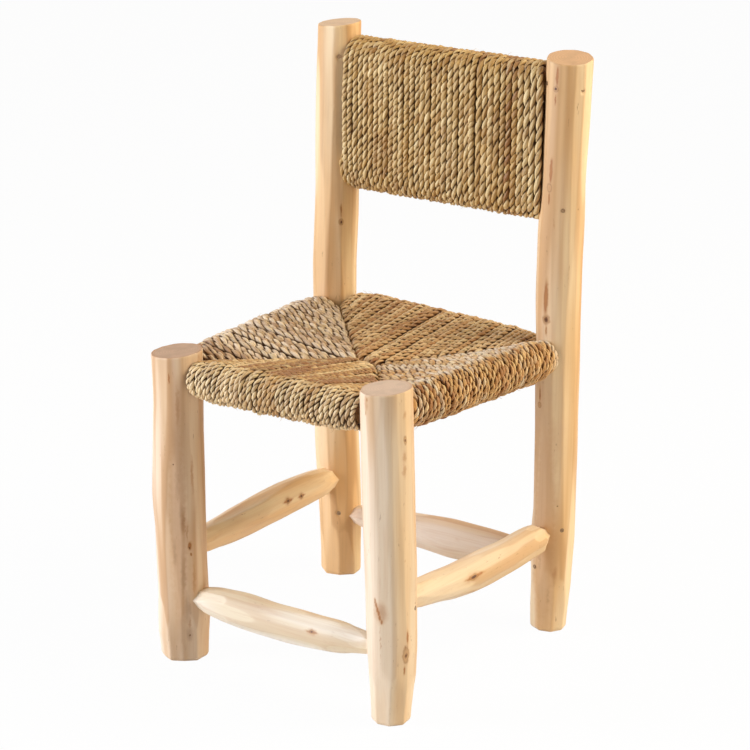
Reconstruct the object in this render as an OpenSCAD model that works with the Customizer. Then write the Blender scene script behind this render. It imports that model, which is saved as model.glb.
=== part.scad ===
// Child's chair: four round peeled branches as legs, whittled branch stretchers, a corded
// square seat whose four fields meet along the diagonals, and a corded back panel.
// Millimetres. Seen from the front, +X is to the right and +Y goes away; +Z is up.
// The origin is on the floor under the middle of the chair.

/* [Frame] */
// Distance between the feet of the two front legs
front_spacing = 254; // [240:1:270]
// How much wider apart the feet of the two back posts are
back_splay = 14; // [0:1:24]
// Distance between the front feet and the back feet
frame_depth = 277; // [262:1:295]
// Mean height of the front legs
front_leg_h = 327; // [320:1:350]
// Mean height of the back posts
post_h = 602.5; // [598:0.5:650]
// Thickness of the front legs
front_leg_d = 51; // [46:0.5:54]
// Thickness of the back posts
post_d = 46.5; // [43:0.5:50]

/* [Stretchers] */
// Mean height of the front stretcher
front_stretcher_z = 68; // [60:0.5:75]
// Mean height of the back stretcher
back_stretcher_z = 72.5; // [66:0.5:75]
// Mean height of the left stretcher
left_stretcher_z = 111.5; // [108:0.5:140]
// Mean height of the right stretcher
right_stretcher_z = 111; // [109:0.5:140]
// Thickness of the front stretcher where it is thickest
front_stretcher_d = 37; // [32:0.5:42]
// Thickness of the back stretcher where it is thickest
back_stretcher_d = 44; // [38:0.5:46]
// Thickness of the left stretcher where it is thickest
left_stretcher_d = 36.5; // [32:0.5:40]
// Thickness of the right stretcher where it is thickest
right_stretcher_d = 38.5; // [33:0.5:42]
// Thickness of the tenons of the front, left and right stretchers
tenon_d = 24; // [20:0.5:25]
// Thickness of the tenons of the back stretcher
back_stretcher_tenon_d = 20; // [16:0.5:22]
// How far a stretcher's tenon reaches past the middle of a leg
tenon_past = 4; // [2:0.5:8]
// Play all round a tenon in its mortise
tenon_play = 0.2; // [0.1:0.05:0.3]

/* [Seat] */
// How far the seat rails' centre lines lie below the tops of the front legs
seat_rail_drop = 29; // [26:1:36]
// Thickness of the seat rails
seat_rail_d = 30; // [26:0.5:32]
// Thickness of a seat rail where it meets a leg
seat_rail_end_d = 22; // [20:0.5:26]
// Length over which a seat rail thins towards a leg
seat_rail_taper = 26; // [15:1:40]
// Thickness of the tenons on the seat rails
seat_tenon_d = 18; // [14:0.5:19]
// Distance from the middle of a leg at which a seat rail's tenon stops
seat_tenon_stop = 11; // [11:0.5:14]
// Thickness of the cord round a rail
seat_wrap = 6.6; // [5.5:0.1:7]
// Distance from strand to strand
strand_pitch = 6.1; // [5.6:0.1:7]
// Width of the groove between two strands
strand_gap = 1.2; // [0.8:0.1:1.8]
// Depth of the groove between two strands
strand_groove = 1.4; // [0.8:0.1:2]
// How far the seams lie below the cord on top of the rails
seat_dip = 16; // [8:1:20]
// Thickness of the seat at the seams
seam_thick = 22; // [16:1:26]
// Length of the short seam in the middle where the front and back fields meet
middle_seam = 27; // [10:1:40]
// Gap between two fields along their seam
seam_gap = 0.5; // [0.4:0.1:1]

/* [Back panel] */
// How far the upper back rail's centre line lies below the tops of the posts
back_top_drop = 31.5; // [27:0.5:40]
// Distance between the centre lines of the two back rails
back_panel_h = 116; // [100:1:140]
// Thickness of the back rails
back_rail_d = 22; // [20:0.5:25]
// Thickness of the tenons on the back rails
back_tenon_d = 18; // [14:0.5:19]
// Turns of cord round the two back rails
back_turns = 24; // [20:1:24]
// Gap between two turns
turn_gap = 0.65; // [0.5:0.05:1]

/* [Nails] */
// Thickness of a nail
nail_d = 1.8; // [1.4:0.1:2.4]
// Width of a nail's head
nail_head_d = 4.4; // [3.6:0.1:5]
// Thickness of a nail's head
nail_head_h = 0.9; // [0.6:0.1:1.2]
// Distance from the middle of a leg at which a nail's point stops
nail_stop = 3; // [2:0.5:5]

/* [Hidden] */
$fn = 48;

back_spacing = front_spacing + back_splay;
seat_rail_z = front_leg_h - seat_rail_drop;
back_top_z = post_h - back_top_drop;
back_bottom_z = back_top_z - back_panel_h;

WOOD = "burlywood";
PALE_WOOD = "wheat";
GOLD_CORD = "darkkhaki";
PALE_CORD = "tan";

// Indices of the four legs
FL = 0;
FR = 1;
BL = 2;
BR = 3;

// Each branch as it grew: its foot's own shift, its own extra height, and stations along it.
// A station is [share of the height, shift in X, shift in Y, share of the thickness].
FOOT_SHIFT = [[0.5, 3.9], [0.9, -1.4], [-0.3, 2.8], [-0.1, -0.5]];
EXTRA_H = [-6, 6, 1.5, -1.5];
STATIONS = [
    [[0, 0, 0, 0.77], [0.06, -0.3, -0.2, 0.87], [0.125, -0.9, -0.5, 0.97], [0.3, -2.8, -1.5, 1.03],
        [0.52, -4.5, -2.3, 1.06], [0.78, -4.4, -1.8, 1.03], [1, -4.1, -1.3, 1.01]],
    [[0, 0, 0, 0.77], [0.09, 0.5, 0.3, 0.86], [0.21, 1.5, 1, 0.99], [0.5, 0.6, -1.2, 1],
        [0.8, -1.3, -3.5, 0.99], [1, -2.5, -4.6, 0.98]],
    [[0, 0, 0, 0.87], [0.035, -0.4, -0.2, 0.94], [0.075, -1, -0.6, 1], [0.25, -4.6, -2.2, 1.05],
        [0.45, -6, -2.6, 1.01], [0.65, -5.8, 0.2, 1], [0.85, -5.3, 3.6, 0.99], [1, -5, 6, 0.98]],
    [[0, 0, 0, 0.76], [0.05, 0.6, 0.4, 0.88], [0.1, 1.4, 0.9, 0.98], [0.28, 3, 2, 1.01],
        [0.45, 3.4, 0.2, 1], [0.58, 3.5, -1.3, 0.99], [0.78, 4.2, 3, 0.98], [1, 5, 8, 0.99]]];
LEG_SIDES = 16;
LEG_RING_STEP = 18;
EDGE = 2.2;
// How far the knife left a branch from round, and how far a station's change is spread
KNIFE = 0.014;
SPREAD = 0.025;
// Directions of the knife's marks on the legs
LEG_TURN = [20, 75, 130, 200];

// Stretchers, each [leg, height shift there, other leg, height shift there].
// Their stations are [share of the length, upward bow, share of the thickness].
FRONT_S = [FL, -2.5, FR, 3];
BACK_S = [BL, -4.5, BR, 4.5];
LEFT_S = [BL, -1, FL, 1];
RIGHT_S = [FR, 5.5, BR, -5];
FRONT_SHAPE = [[0, 0, 0.74], [0.08, 0, 0.87], [0.23, -1, 1], [0.38, -2.3, 1], [0.52, -3, 1],
    [0.67, -2.5, 0.97], [0.82, -1.4, 0.91], [0.95, 0, 0.68], [1, 0, 0.65]];
BACK_SHAPE = [[0, 0, 0.46], [0.05, -0.8, 0.57], [0.14, -1.5, 0.66], [0.23, -2, 0.74],
    [0.42, -2.9, 0.9], [0.51, -3.5, 0.97], [0.6, -5, 1], [0.78, -4, 0.87], [0.88, -3, 0.74],
    [0.95, -1.5, 0.57], [1, 0, 0.46]];
LEFT_SHAPE = [[0, 0, 0.76], [0.03, 0.2, 0.82], [0.09, 1, 0.89], [0.22, 2.2, 0.98],
    [0.36, 2.4, 1], [0.5, 1.7, 0.98], [0.63, 0.5, 0.94], [0.77, 0, 0.86], [0.91, 0, 0.74],
    [1, 0, 0.7]];
RIGHT_SHAPE = [[0, 0.5, 0.7], [0.05, 0.8, 0.74], [0.19, -2, 0.83], [0.32, -4.4, 0.91],
    [0.45, -5.4, 0.98], [0.58, -4.7, 1], [0.72, -4.3, 0.95], [0.85, -1.7, 0.94],
    [0.95, -0.8, 0.9], [1, -0.4, 0.78]];
STRETCHER_SIDES = 12;
STRETCHER_RINGS = 21;
// How far a stretcher's ring runs on into a leg before its end is cut to the leg's round
COPE = 9;
// Directions of the knife's marks on the stretchers
FRONT_TURN = 10;
BACK_TURN = 60;
LEFT_TURN = 110;
RIGHT_TURN = 160;

// Seat rails in order round the seat, each with the seat on its left, as stretchers are written
SEAT_FRONT = [FL, -1.5, FR, 7];
SEAT_RIGHT = [FR, 8, BR, 0];
SEAT_BACK = [BR, -5.5, BL, 3.5];
SEAT_LEFT = [BL, 1.5, FL, -2];
// Gap between a shoulder or a strand and the leg beside it
SHOULDER_GAP = 0.4;

BACK_TOP = [BL, 1.2, BR, -1.3];
BACK_BOTTOM = [BL, 0, BR, 0];

// Nails, each [leg, height, direction round the leg in degrees, 0 towards +X]
NAILS = [
    [BL, back_top_z, -54], [BR, back_top_z + 1, -131], [BR, back_top_z - 3, -18],
    [BL, back_bottom_z, 100], [BR, back_bottom_z - 5.5, -58],
    [BL, back_stretcher_z + 0.5, -58], [BR, back_stretcher_z - 2, -113],
    [BL, left_stretcher_z - 3, 180], [FL, left_stretcher_z + 2, 180],
    [FR, right_stretcher_z + 6.5, 16], [BR, right_stretcher_z + 3, -35],
    [FL, front_stretcher_z - 3, 120], [FR, front_stretcher_z + 3, 90]];
NAIL_PLAY = 0.2;
HEAD_SINK = 0.96;

BIG = 400;
// A cutter starts this much outside of what it cuts
OVER = 12;
FOOT_CUT = 6;

// Vectors, frames and smooth curves through stations
function unit(v) = v / norm(v);
function column(table, k) = [for (row = table) [row[0], row[k]]];
function smooth(table, k, s) =
    (lookup(s - SPREAD, column(table, k)) + 2 * lookup(s, column(table, k))
        + lookup(s + SPREAD, column(table, k))) / 4;

// A point on a leg's centre line at height z, and the leg's radius there
function leg_h(leg) = (leg < BL ? front_leg_h : post_h) + EXTRA_H[leg];
function leg_d(leg) = leg < BL ? front_leg_d : post_d;
function foot(leg) = [
    (leg % 2 == 0 ? -1 : 1) * (leg < BL ? front_spacing : back_spacing) / 2 + FOOT_SHIFT[leg].x,
    (leg < BL ? -1 : 1) * frame_depth / 2 + FOOT_SHIFT[leg].y];
function leg_at(leg, z) = [
    foot(leg).x + smooth(STATIONS[leg], 1, z / leg_h(leg)),
    foot(leg).y + smooth(STATIONS[leg], 2, z / leg_h(leg)),
    z];
function leg_r(leg, z) = leg_d(leg) / 2 * smooth(STATIONS[leg], 3, z / leg_h(leg));
// The radius round a leg at height z that what stands beside it keeps clear of
function clear_r(leg, z) = leg_r(leg, z) * (1 + 2 * KNIFE) + SHOULDER_GAP;

// The two ends of a rail or stretcher on the legs' centre lines
function end_a(r, z) = leg_at(r[0], z + r[1]);
function end_b(r, z) = leg_at(r[2], z + r[3]);
function r_a(r, z) = clear_r(r[0], z + r[1]);
function r_b(r, z) = clear_r(r[2], z + r[3]);
function span(r, z) = norm(end_b(r, z) - end_a(r, z));

// A closed tube through the rings' centres. shape is a list of radius shares round a ring.
module tube(path, radii, ref, shape) {
    n = len(shape);
    m = len(path);
    ways = [for (i = [0 : m - 1]) unit(path[min(i + 1, m - 1)] - path[max(i - 1, 0)])];
    points = [for (i = [0 : m - 1])
        let (s = unit(cross(ref, ways[i])), u = cross(ways[i], s))
        for (k = [0 : n - 1])
            path[i] + radii[i] * shape[k] * (cos(360 * k / n) * s + sin(360 * k / n) * u)];
    sides = [for (i = [0 : m - 2]) for (k = [0 : n - 1])
        let (a = i * n + k, b = i * n + (k + 1) % n, c = b + n, d = a + n)
        each [[a, d, b], [b, d, c]]];
    first = [for (k = [0 : n - 1]) k];
    last = [for (k = [0 : n - 1]) m * n - 1 - k];
    polyhedron(points = points, faces = concat(sides, [first, last]), convexity = 6);
}

// Radius shares round a branch that a knife has peeled
function knife_marks(n, turn) = [for (k = [0 : n - 1])
    1 + KNIFE * (sin(3 * 360 * k / n + turn) + 0.6 * sin(5 * 360 * k / n + 2.4 * turn))];

// Children drawn along +Z are set along the line from a to b
module along(a, b) {
    v = b - a;
    translate(a)
        rotate([0, acos(v.z / norm(v)), atan2(v.y, v.x)])
            children();
}

// A round peg or hole on the line from a to b, from distance s0 to distance s1
module peg(a, b, s0, s1, d) {
    along(a, b)
        translate([0, 0, s0])
            cylinder(d = d, h = s1 - s0);
}

// The holes in a leg for one rail that ends there
module mortise(leg, r, z, d, stop) {
    at_a = r[0] == leg;
    here = at_a ? end_a(r, z) : end_b(r, z);
    there = at_a ? end_b(r, z) : end_a(r, z);
    if (at_a || r[2] == leg)
        peg(here, there, stop - tenon_play, leg_r(leg, here.z) + OVER, d + 2 * tenon_play);
}

module mortises(leg) {
    mortise(leg, FRONT_S, front_stretcher_z, tenon_d, -tenon_past);
    mortise(leg, BACK_S, back_stretcher_z, back_stretcher_tenon_d, -tenon_past);
    mortise(leg, LEFT_S, left_stretcher_z, tenon_d, -tenon_past);
    mortise(leg, RIGHT_S, right_stretcher_z, tenon_d, -tenon_past);
    mortise(leg, SEAT_FRONT, seat_rail_z, seat_tenon_d, seat_tenon_stop);
    mortise(leg, SEAT_RIGHT, seat_rail_z, seat_tenon_d, seat_tenon_stop);
    mortise(leg, SEAT_BACK, seat_rail_z, seat_tenon_d, seat_tenon_stop);
    mortise(leg, SEAT_LEFT, seat_rail_z, seat_tenon_d, seat_tenon_stop);
    mortise(leg, BACK_TOP, back_top_z, back_tenon_d, -tenon_past);
    mortise(leg, BACK_BOTTOM, back_bottom_z, back_tenon_d, -tenon_past);
}

// A nail drawn with its point at nail_stop from the leg's middle; play widens it to its hole
module nail(leg, z, turn, play, head_h) {
    seat = leg_r(leg, z) * HEAD_SINK - nail_head_h;
    translate(leg_at(leg, z))
        rotate([0, 90, turn]) {
            translate([0, 0, nail_stop - play])
                cylinder(d = nail_d + 2 * play, h = seat - nail_stop + play + nail_head_h / 2);
            translate([0, 0, seat - play])
                cylinder(d = nail_head_d + 2 * play, h = head_h + play);
        }
}

module nail_holes(leg) {
    for (n = NAILS)
        if (n[0] == leg)
            nail(n[0], n[1], n[2], NAIL_PLAY, OVER);
}

// A leg: a whittled branch with chamfered ends, a flat foot and all its mortises
module branch_leg(leg) {
    h = leg_h(leg);
    rings = ceil(h / LEG_RING_STEP);
    heights = concat(
        [-FOOT_CUT, 0, EDGE],
        [for (i = [1 : rings - 1]) h * i / rings],
        [h - EDGE, h]);
    path = [for (z = heights) leg_at(leg, z)];
    radii = [for (z = heights) leg_r(leg, z) - (z <= 0 || z == h ? EDGE : 0)];
    difference() {
        tube(path, radii, [0, 1, 0], knife_marks(LEG_SIDES, LEG_TURN[leg]));
        translate([foot(leg).x - BIG / 2, foot(leg).y - BIG / 2, -BIG])
            cube([BIG, BIG, BIG]);
        mortises(leg);
        nail_holes(leg);
    }
}

module front_left_leg() {
    color(PALE_WOOD)
        branch_leg(FL);
}

module front_right_leg() {
    color(PALE_WOOD)
        branch_leg(FR);
}

module back_left_post() {
    color(PALE_WOOD)
        branch_leg(BL);
}

module back_right_post() {
    color(PALE_WOOD)
        branch_leg(BR);
}

// A stretcher: a whittled branch, cut to a leg's round at each end, with a round tenon
module branch_stretcher(r, z, d, tenon, shape, turn) {
    a = end_a(r, z);
    b = end_b(r, z);
    way = unit(b - a);
    up = cross(unit(cross(way, [0, 0, 1])), way);
    s0 = r_a(r, z);
    s1 = span(r, z) - r_b(r, z);
    inner = [for (i = [0 : STRETCHER_RINGS - 1]) i / (STRETCHER_RINGS - 1)];
    shares = concat([-COPE / (s1 - s0)], inner, [1 + COPE / (s1 - s0)]);
    path = [for (s = shares) a + (s0 + (s1 - s0) * s) * way + smooth(shape, 1, s) * up];
    radii = [for (s = shares) max(d / 2 * smooth(shape, 2, s), tenon / 2 * (1 + 2 * KNIFE))];
    difference() {
        union() {
            difference() {
                tube(path, radii, [0, 0, 1], knife_marks(STRETCHER_SIDES, turn));
                for (p = [a, b])
                    translate([p.x, p.y, p.z - d])
                        cylinder(r = p == a ? s0 : r_b(r, z), h = 2 * d);
            }
            peg(a, b, -tenon_past, s0 + COPE, tenon);
            peg(b, a, -tenon_past, r_b(r, z) + COPE, tenon);
        }
        nail_holes(r[0]);
        nail_holes(r[2]);
    }
}

module front_stretcher() {
    color(WOOD)
        branch_stretcher(FRONT_S, front_stretcher_z, front_stretcher_d, tenon_d, FRONT_SHAPE,
            FRONT_TURN);
}

module back_stretcher() {
    color(WOOD)
        branch_stretcher(BACK_S, back_stretcher_z, back_stretcher_d, back_stretcher_tenon_d,
            BACK_SHAPE, BACK_TURN);
}

module left_stretcher() {
    color(WOOD)
        branch_stretcher(LEFT_S, left_stretcher_z, left_stretcher_d, tenon_d, LEFT_SHAPE,
            LEFT_TURN);
}

module right_stretcher() {
    color(WOOD)
        branch_stretcher(RIGHT_S, right_stretcher_z, right_stretcher_d, tenon_d, RIGHT_SHAPE,
            RIGHT_TURN);
}

// A seat rail's pole, thinner at both ends. The hole for it is wider by play, longer by over.
module seat_pole(r, play, over) {
    s0 = r_a(r, seat_rail_z);
    s1 = span(r, seat_rail_z) - r_b(r, seat_rail_z);
    thin = seat_rail_end_d / 2 + play;
    full = seat_rail_d / 2 + play;
    along(end_a(r, seat_rail_z), end_b(r, seat_rail_z))
        rotate_extrude()
            polygon([[0, s0 - over], [thin, s0 - over], [full, s0 + seat_rail_taper],
                [full, s1 - seat_rail_taper], [thin, s1 + over], [0, s1 + over]]);
}

module seat_rail(r) {
    seat_pole(r, 0, 0);
    peg(end_a(r, seat_rail_z), end_b(r, seat_rail_z), seat_tenon_stop,
        span(r, seat_rail_z) - seat_tenon_stop, seat_tenon_d);
}

module seat_front_rail() {
    color(WOOD)
        seat_rail(SEAT_FRONT);
}

module seat_back_rail() {
    color(WOOD)
        seat_rail(SEAT_BACK);
}

module seat_left_rail() {
    color(WOOD)
        seat_rail(SEAT_LEFT);
}

module seat_right_rail() {
    color(WOOD)
        seat_rail(SEAT_RIGHT);
}

// A back rail, thinned only where it enters the posts
module back_rail(r, z) {
    a = end_a(r, z);
    b = end_b(r, z);
    difference() {
        union() {
            peg(a, b, r_a(r, z), span(r, z) - r_b(r, z), back_rail_d);
            peg(a, b, -tenon_past, span(r, z) + tenon_past, back_tenon_d);
        }
        nail_holes(r[0]);
        nail_holes(r[2]);
    }
}

module back_top_rail() {
    color(WOOD)
        back_rail(BACK_TOP, back_top_z);
}

module back_bottom_rail() {
    color(WOOD)
        back_rail(BACK_BOTTOM, back_bottom_z);
}

// The seat's corners in plan, and the two points in its middle where the seams end
corners = [for (leg = [FL, FR, BR, BL]) leg_at(leg, seat_rail_z)];
MIDDLE_SHIFT = [4.5, -3.2, 0];
SEAM_TURN = -17;
middle = (corners[0] + corners[1] + corners[2] + corners[3]) / 4 + MIDDLE_SHIFT;
seam_way = [cos(SEAM_TURN), sin(SEAM_TURN), 0];
middle_left = middle - middle_seam / 2 * seam_way;
middle_right = middle + middle_seam / 2 * seam_way;
SEAM_ENDS = [
    [corners[0], middle_left], [corners[1], middle_right],
    [corners[2], middle_right], [corners[3], middle_left],
    [middle_left, middle_right]];
rim_r = seat_rail_d / 2 + seat_wrap;
seam_top = seat_rail_z + rim_r - seat_dip;
// How far two slabs of a field reach into each other, and how far one runs past its seam
LAP = 0.3;
PAST_SEAM = 8;

// A point seen from a rail: how far along it, and how far from it towards the seat's middle
function from_rail(r, p) =
    let (
        a = end_a(r, seat_rail_z),
        v = end_b(r, seat_rail_z) - a,
        way = [v.x, v.y] / norm([v.x, v.y])
    )
    [(p.x - a.x) * way.x + (p.y - a.y) * way.y, (p.y - a.y) * way.x - (p.x - a.x) * way.y];

// The section of a field across its rail: round the rail, then down to the seam
module field_section(rail_r, reach, top, bottom) {
    circle(r = rail_r);
    polygon([[0, rail_r], [reach, top], [reach + PAST_SEAM, top], [reach + PAST_SEAM, bottom],
        [reach, bottom], [0, -rail_r]]);
}

// A field of strands over one rail, before it is trimmed to its quarter of the seat
module field_strands(r, mid_b, mid_a) {
    z = seat_rail_z;
    a = end_a(r, z);
    v = end_b(r, z) - a;
    length = span(r, z);
    s0 = r_a(r, z);
    s1 = length - r_b(r, z);
    strands = floor((s1 - s0) / strand_pitch);
    start = (s0 + s1 - strands * strand_pitch) / 2;
    thick = [[s0, seat_rail_end_d / 2], [s0 + seat_rail_taper, seat_rail_d / 2],
        [s1 - seat_rail_taper, seat_rail_d / 2], [s1, seat_rail_end_d / 2]];
    seam = mid_a == mid_b ? [[0, 0], from_rail(r, mid_a), [length, 0]]
        : [[0, 0], from_rail(r, mid_a), from_rail(r, mid_b), [length, 0]];
    translate(a)
        rotate([0, -asin(v.z / norm(v)), atan2(v.y, v.x)])
            rotate([90, 0, 90])
                for (i = [0 : 2 * strands - 2])
                    let (
                        groove = i % 2,
                        at = start + (i + 1) * strand_pitch / 2,
                        width = groove ? strand_gap + 2 * LAP : strand_pitch - strand_gap,
                        level = a.z + v.z * at / length,
                        cut = groove * strand_groove
                    )
                    translate([0, 0, at - width / 2])
                        linear_extrude(height = width)
                            field_section(lookup(at, thick) + seat_wrap - cut, lookup(at, seam),
                                seam_top - level - cut, seam_top - seam_thick - level + cut);
}

// The quarter of the seat between two corners, carried on outwards past the rail
module quarter(corner_a, corner_b, mid_b, mid_a) {
    away = unit(cross(corner_b - corner_a, [0, 0, 1])) * (rim_r + OVER);
    outline = [corner_a, corner_a + away, corner_b + away, corner_b, mid_b, mid_a];
    linear_extrude(height = BIG)
        polygon([for (p = outline) [p.x, p.y]]);
}

// A thin upright wall that keeps two fields apart along their seam
module seam_wall(a, b) {
    v = b - a;
    translate([a.x, a.y, 0])
        rotate([0, 0, atan2(v.y, v.x)])
            translate([-OVER, -seam_gap / 2, 0])
                cube([norm([v.x, v.y]) + OVER + seam_gap, seam_gap, BIG]);
}

// One field of the seat, trimmed to its quarter and bored for its rail
module field(r, mid_b, mid_a) {
    difference() {
        intersection() {
            field_strands(r, mid_b, mid_a);
            quarter(leg_at(r[0], seat_rail_z), leg_at(r[2], seat_rail_z), mid_b, mid_a);
        }
        seat_pole(r, tenon_play, OVER);
        for (s = SEAM_ENDS)
            seam_wall(s[0], s[1]);
    }
}

module seat_weave_front() {
    color(GOLD_CORD)
        field(SEAT_FRONT, middle_right, middle_left);
}

module seat_weave_back() {
    color(GOLD_CORD)
        field(SEAT_BACK, middle_left, middle_right);
}

module seat_weave_left() {
    color(PALE_CORD)
        field(SEAT_LEFT, middle_left, middle_left);
}

module seat_weave_right() {
    color(PALE_CORD)
        field(SEAT_RIGHT, middle_right, middle_right);
}

// The back's cord: one length wound round both back rails from the left post to the right
rope_a = [end_a(BACK_BOTTOM, back_bottom_z), end_a(BACK_TOP, back_top_z)];
rope_b = [end_b(BACK_BOTTOM, back_bottom_z), end_b(BACK_TOP, back_top_z)];
rope_clear = 1.5;
rope_x0 = max(rope_a[0].x + r_a(BACK_BOTTOM, back_bottom_z),
    rope_a[1].x + r_a(BACK_TOP, back_top_z)) + rope_clear;
rope_x1 = min(rope_b[0].x - r_b(BACK_BOTTOM, back_bottom_z),
    rope_b[1].x - r_b(BACK_TOP, back_top_z)) - rope_clear;
turn_pitch = (rope_x1 - rope_x0) / (back_turns + 1);
rope_d = turn_pitch - turn_gap;
HALF_STEPS = 8;
RUN_STEPS = 4;
TURN_RINGS = 2 * (HALF_STEPS + RUN_STEPS);
// Gap between the cord and the rail that it lies on
ROPE_SEAT = 0.3;
rope_bend_r = (back_rail_d / 2 + rope_d / 2 + ROPE_SEAT) / cos(90 / HALF_STEPS);
// The cord's ends rise by these shares of its thickness, and lean by these shares of the bend
END_RISE = [0, 0.5, 1, 1.9, 2.9];
END_LEAN = [0, 0, 0, 0.3, 0.75];
// Rings on either side of a whole turn among which the nearest point is looked for
NEAR_RINGS = 4;

// Centre line of a back rail at x, so that the cord follows rails that aren't quite level
function rail_at(k, x) = rope_a[k] + (rope_b[k] - rope_a[k]) * (x - rope_a[k].x)
    / (rope_b[k].x - rope_a[k].x);

// A point of the winding: step counts the rings, up the back, over, down the front and under
function rope_point(step) =
    let (
        x = rope_x0 + rope_d / 2 + step / TURN_RINGS * turn_pitch,
        i = step % TURN_RINGS,
        low = rail_at(0, x),
        high = rail_at(1, x),
        back = [0, rope_bend_r, 0],
        over = HALF_STEPS + RUN_STEPS,
        bend = i < over ? 180 * (i - RUN_STEPS) / HALF_STEPS
            : 180 * (i - over - RUN_STEPS) / HALF_STEPS
    )
    i <= RUN_STEPS ? low + back + (high - low) * i / RUN_STEPS
        : i < over ? high + rope_bend_r * [0, cos(bend), sin(bend)]
        : i <= over + RUN_STEPS ? high - back + (low - high) * (i - over) / RUN_STEPS
        : low - rope_bend_r * [0, cos(bend), sin(bend)];

// The cord's two ends stand on the lower rail, inside the winding
function rope_end(step, way) =
    let (
        run = rope_point(step),
        x = run.x - way * turn_pitch / TURN_RINGS,
        seat = rail_at(0, x) + [0, 0, back_rail_d / 2 + ROPE_SEAT]
    )
    [for (i = [0 : len(END_RISE) - 1])
        seat + [0, rope_bend_r * END_LEAN[i], rope_d * END_RISE[i]]];

module back_rope() {
    rings = back_turns * TURN_RINGS;
    first = RUN_STEPS / 2;
    start = rope_end(first, 1);
    finish = rope_end(first + rings, -1);
    path = concat(start, [for (i = [first + 1 : first + rings]) rope_point(i)],
        [for (i = [len(finish) - 1 : -1 : 0]) finish[i]]);
    centres = [for (i = [first : first + rings]) rope_point(i)];
    gaps = [for (i = [0 : len(centres) - 1 - TURN_RINGS + NEAR_RINGS])
        min([for (j = [TURN_RINGS - NEAR_RINGS : TURN_RINGS + NEAR_RINGS])
            i + j < len(centres) ? norm(centres[i + j] - centres[i]) : BIG])];
    echo("least gap from turn to turn", min(gaps) - rope_d);
    color(GOLD_CORD)
        tube(path, [for (p = path) rope_d / 2], [1, 0, 0], [1, 1, 1, 1, 1, 1]);
}

module joint_nails() {
    color("silver")
        for (n = NAILS)
            nail(n[0], n[1], n[2], 0, nail_head_h);
}

front_left_leg();
front_right_leg();
back_left_post();
back_right_post();
front_stretcher();
back_stretcher();
left_stretcher();
right_stretcher();
seat_front_rail();
seat_back_rail();
seat_left_rail();
seat_right_rail();
seat_weave_front();
seat_weave_back();
seat_weave_left();
seat_weave_right();
back_top_rail();
back_bottom_rail();
back_rope();
joint_nails();
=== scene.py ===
import math

import bmesh
import bpy
import numpy as np
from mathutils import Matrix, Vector
from mathutils.bvhtree import BVHTree


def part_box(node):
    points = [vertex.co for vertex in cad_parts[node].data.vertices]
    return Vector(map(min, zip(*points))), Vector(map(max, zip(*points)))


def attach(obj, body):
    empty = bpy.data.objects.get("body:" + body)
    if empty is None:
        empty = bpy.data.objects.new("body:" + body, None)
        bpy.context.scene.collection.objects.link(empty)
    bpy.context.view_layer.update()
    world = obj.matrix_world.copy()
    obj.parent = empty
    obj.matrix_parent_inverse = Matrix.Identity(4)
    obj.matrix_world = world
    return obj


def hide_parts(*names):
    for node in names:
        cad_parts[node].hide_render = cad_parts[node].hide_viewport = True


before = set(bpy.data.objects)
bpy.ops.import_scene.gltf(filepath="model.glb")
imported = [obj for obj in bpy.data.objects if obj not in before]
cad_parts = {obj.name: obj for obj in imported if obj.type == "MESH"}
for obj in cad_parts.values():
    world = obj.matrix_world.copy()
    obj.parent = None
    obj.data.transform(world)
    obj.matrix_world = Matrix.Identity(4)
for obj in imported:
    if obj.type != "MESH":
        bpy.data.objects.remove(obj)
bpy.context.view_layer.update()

# The four legs: peeled branches, drawn thin at the foot with a knife and sawn off on top.
# Long shallow knife flats run down them with bits of brown inner bark left in between, and
# the side shoots' knots show. The two back ones go on up and carry the back.
MM = 0.001

# Each leg, with the seed of its own unevenness
LEGS = {"front_left_leg": 11, "front_right_leg": 12, "back_left_post": 13, "back_right_post": 14}

# A leg's sides and the height of a row of them; where the foot's cuts end; and how many knife flats
# go round it, how far one band of them is from the next, and how many go round the foot
LEG_SIDES = 128
LEG_ROW = 1.62
FOOT_TOP = 66
LEG_FLATS = 8
FLATS_EVERY = 120
FOOT_FLATS = 9

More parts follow.
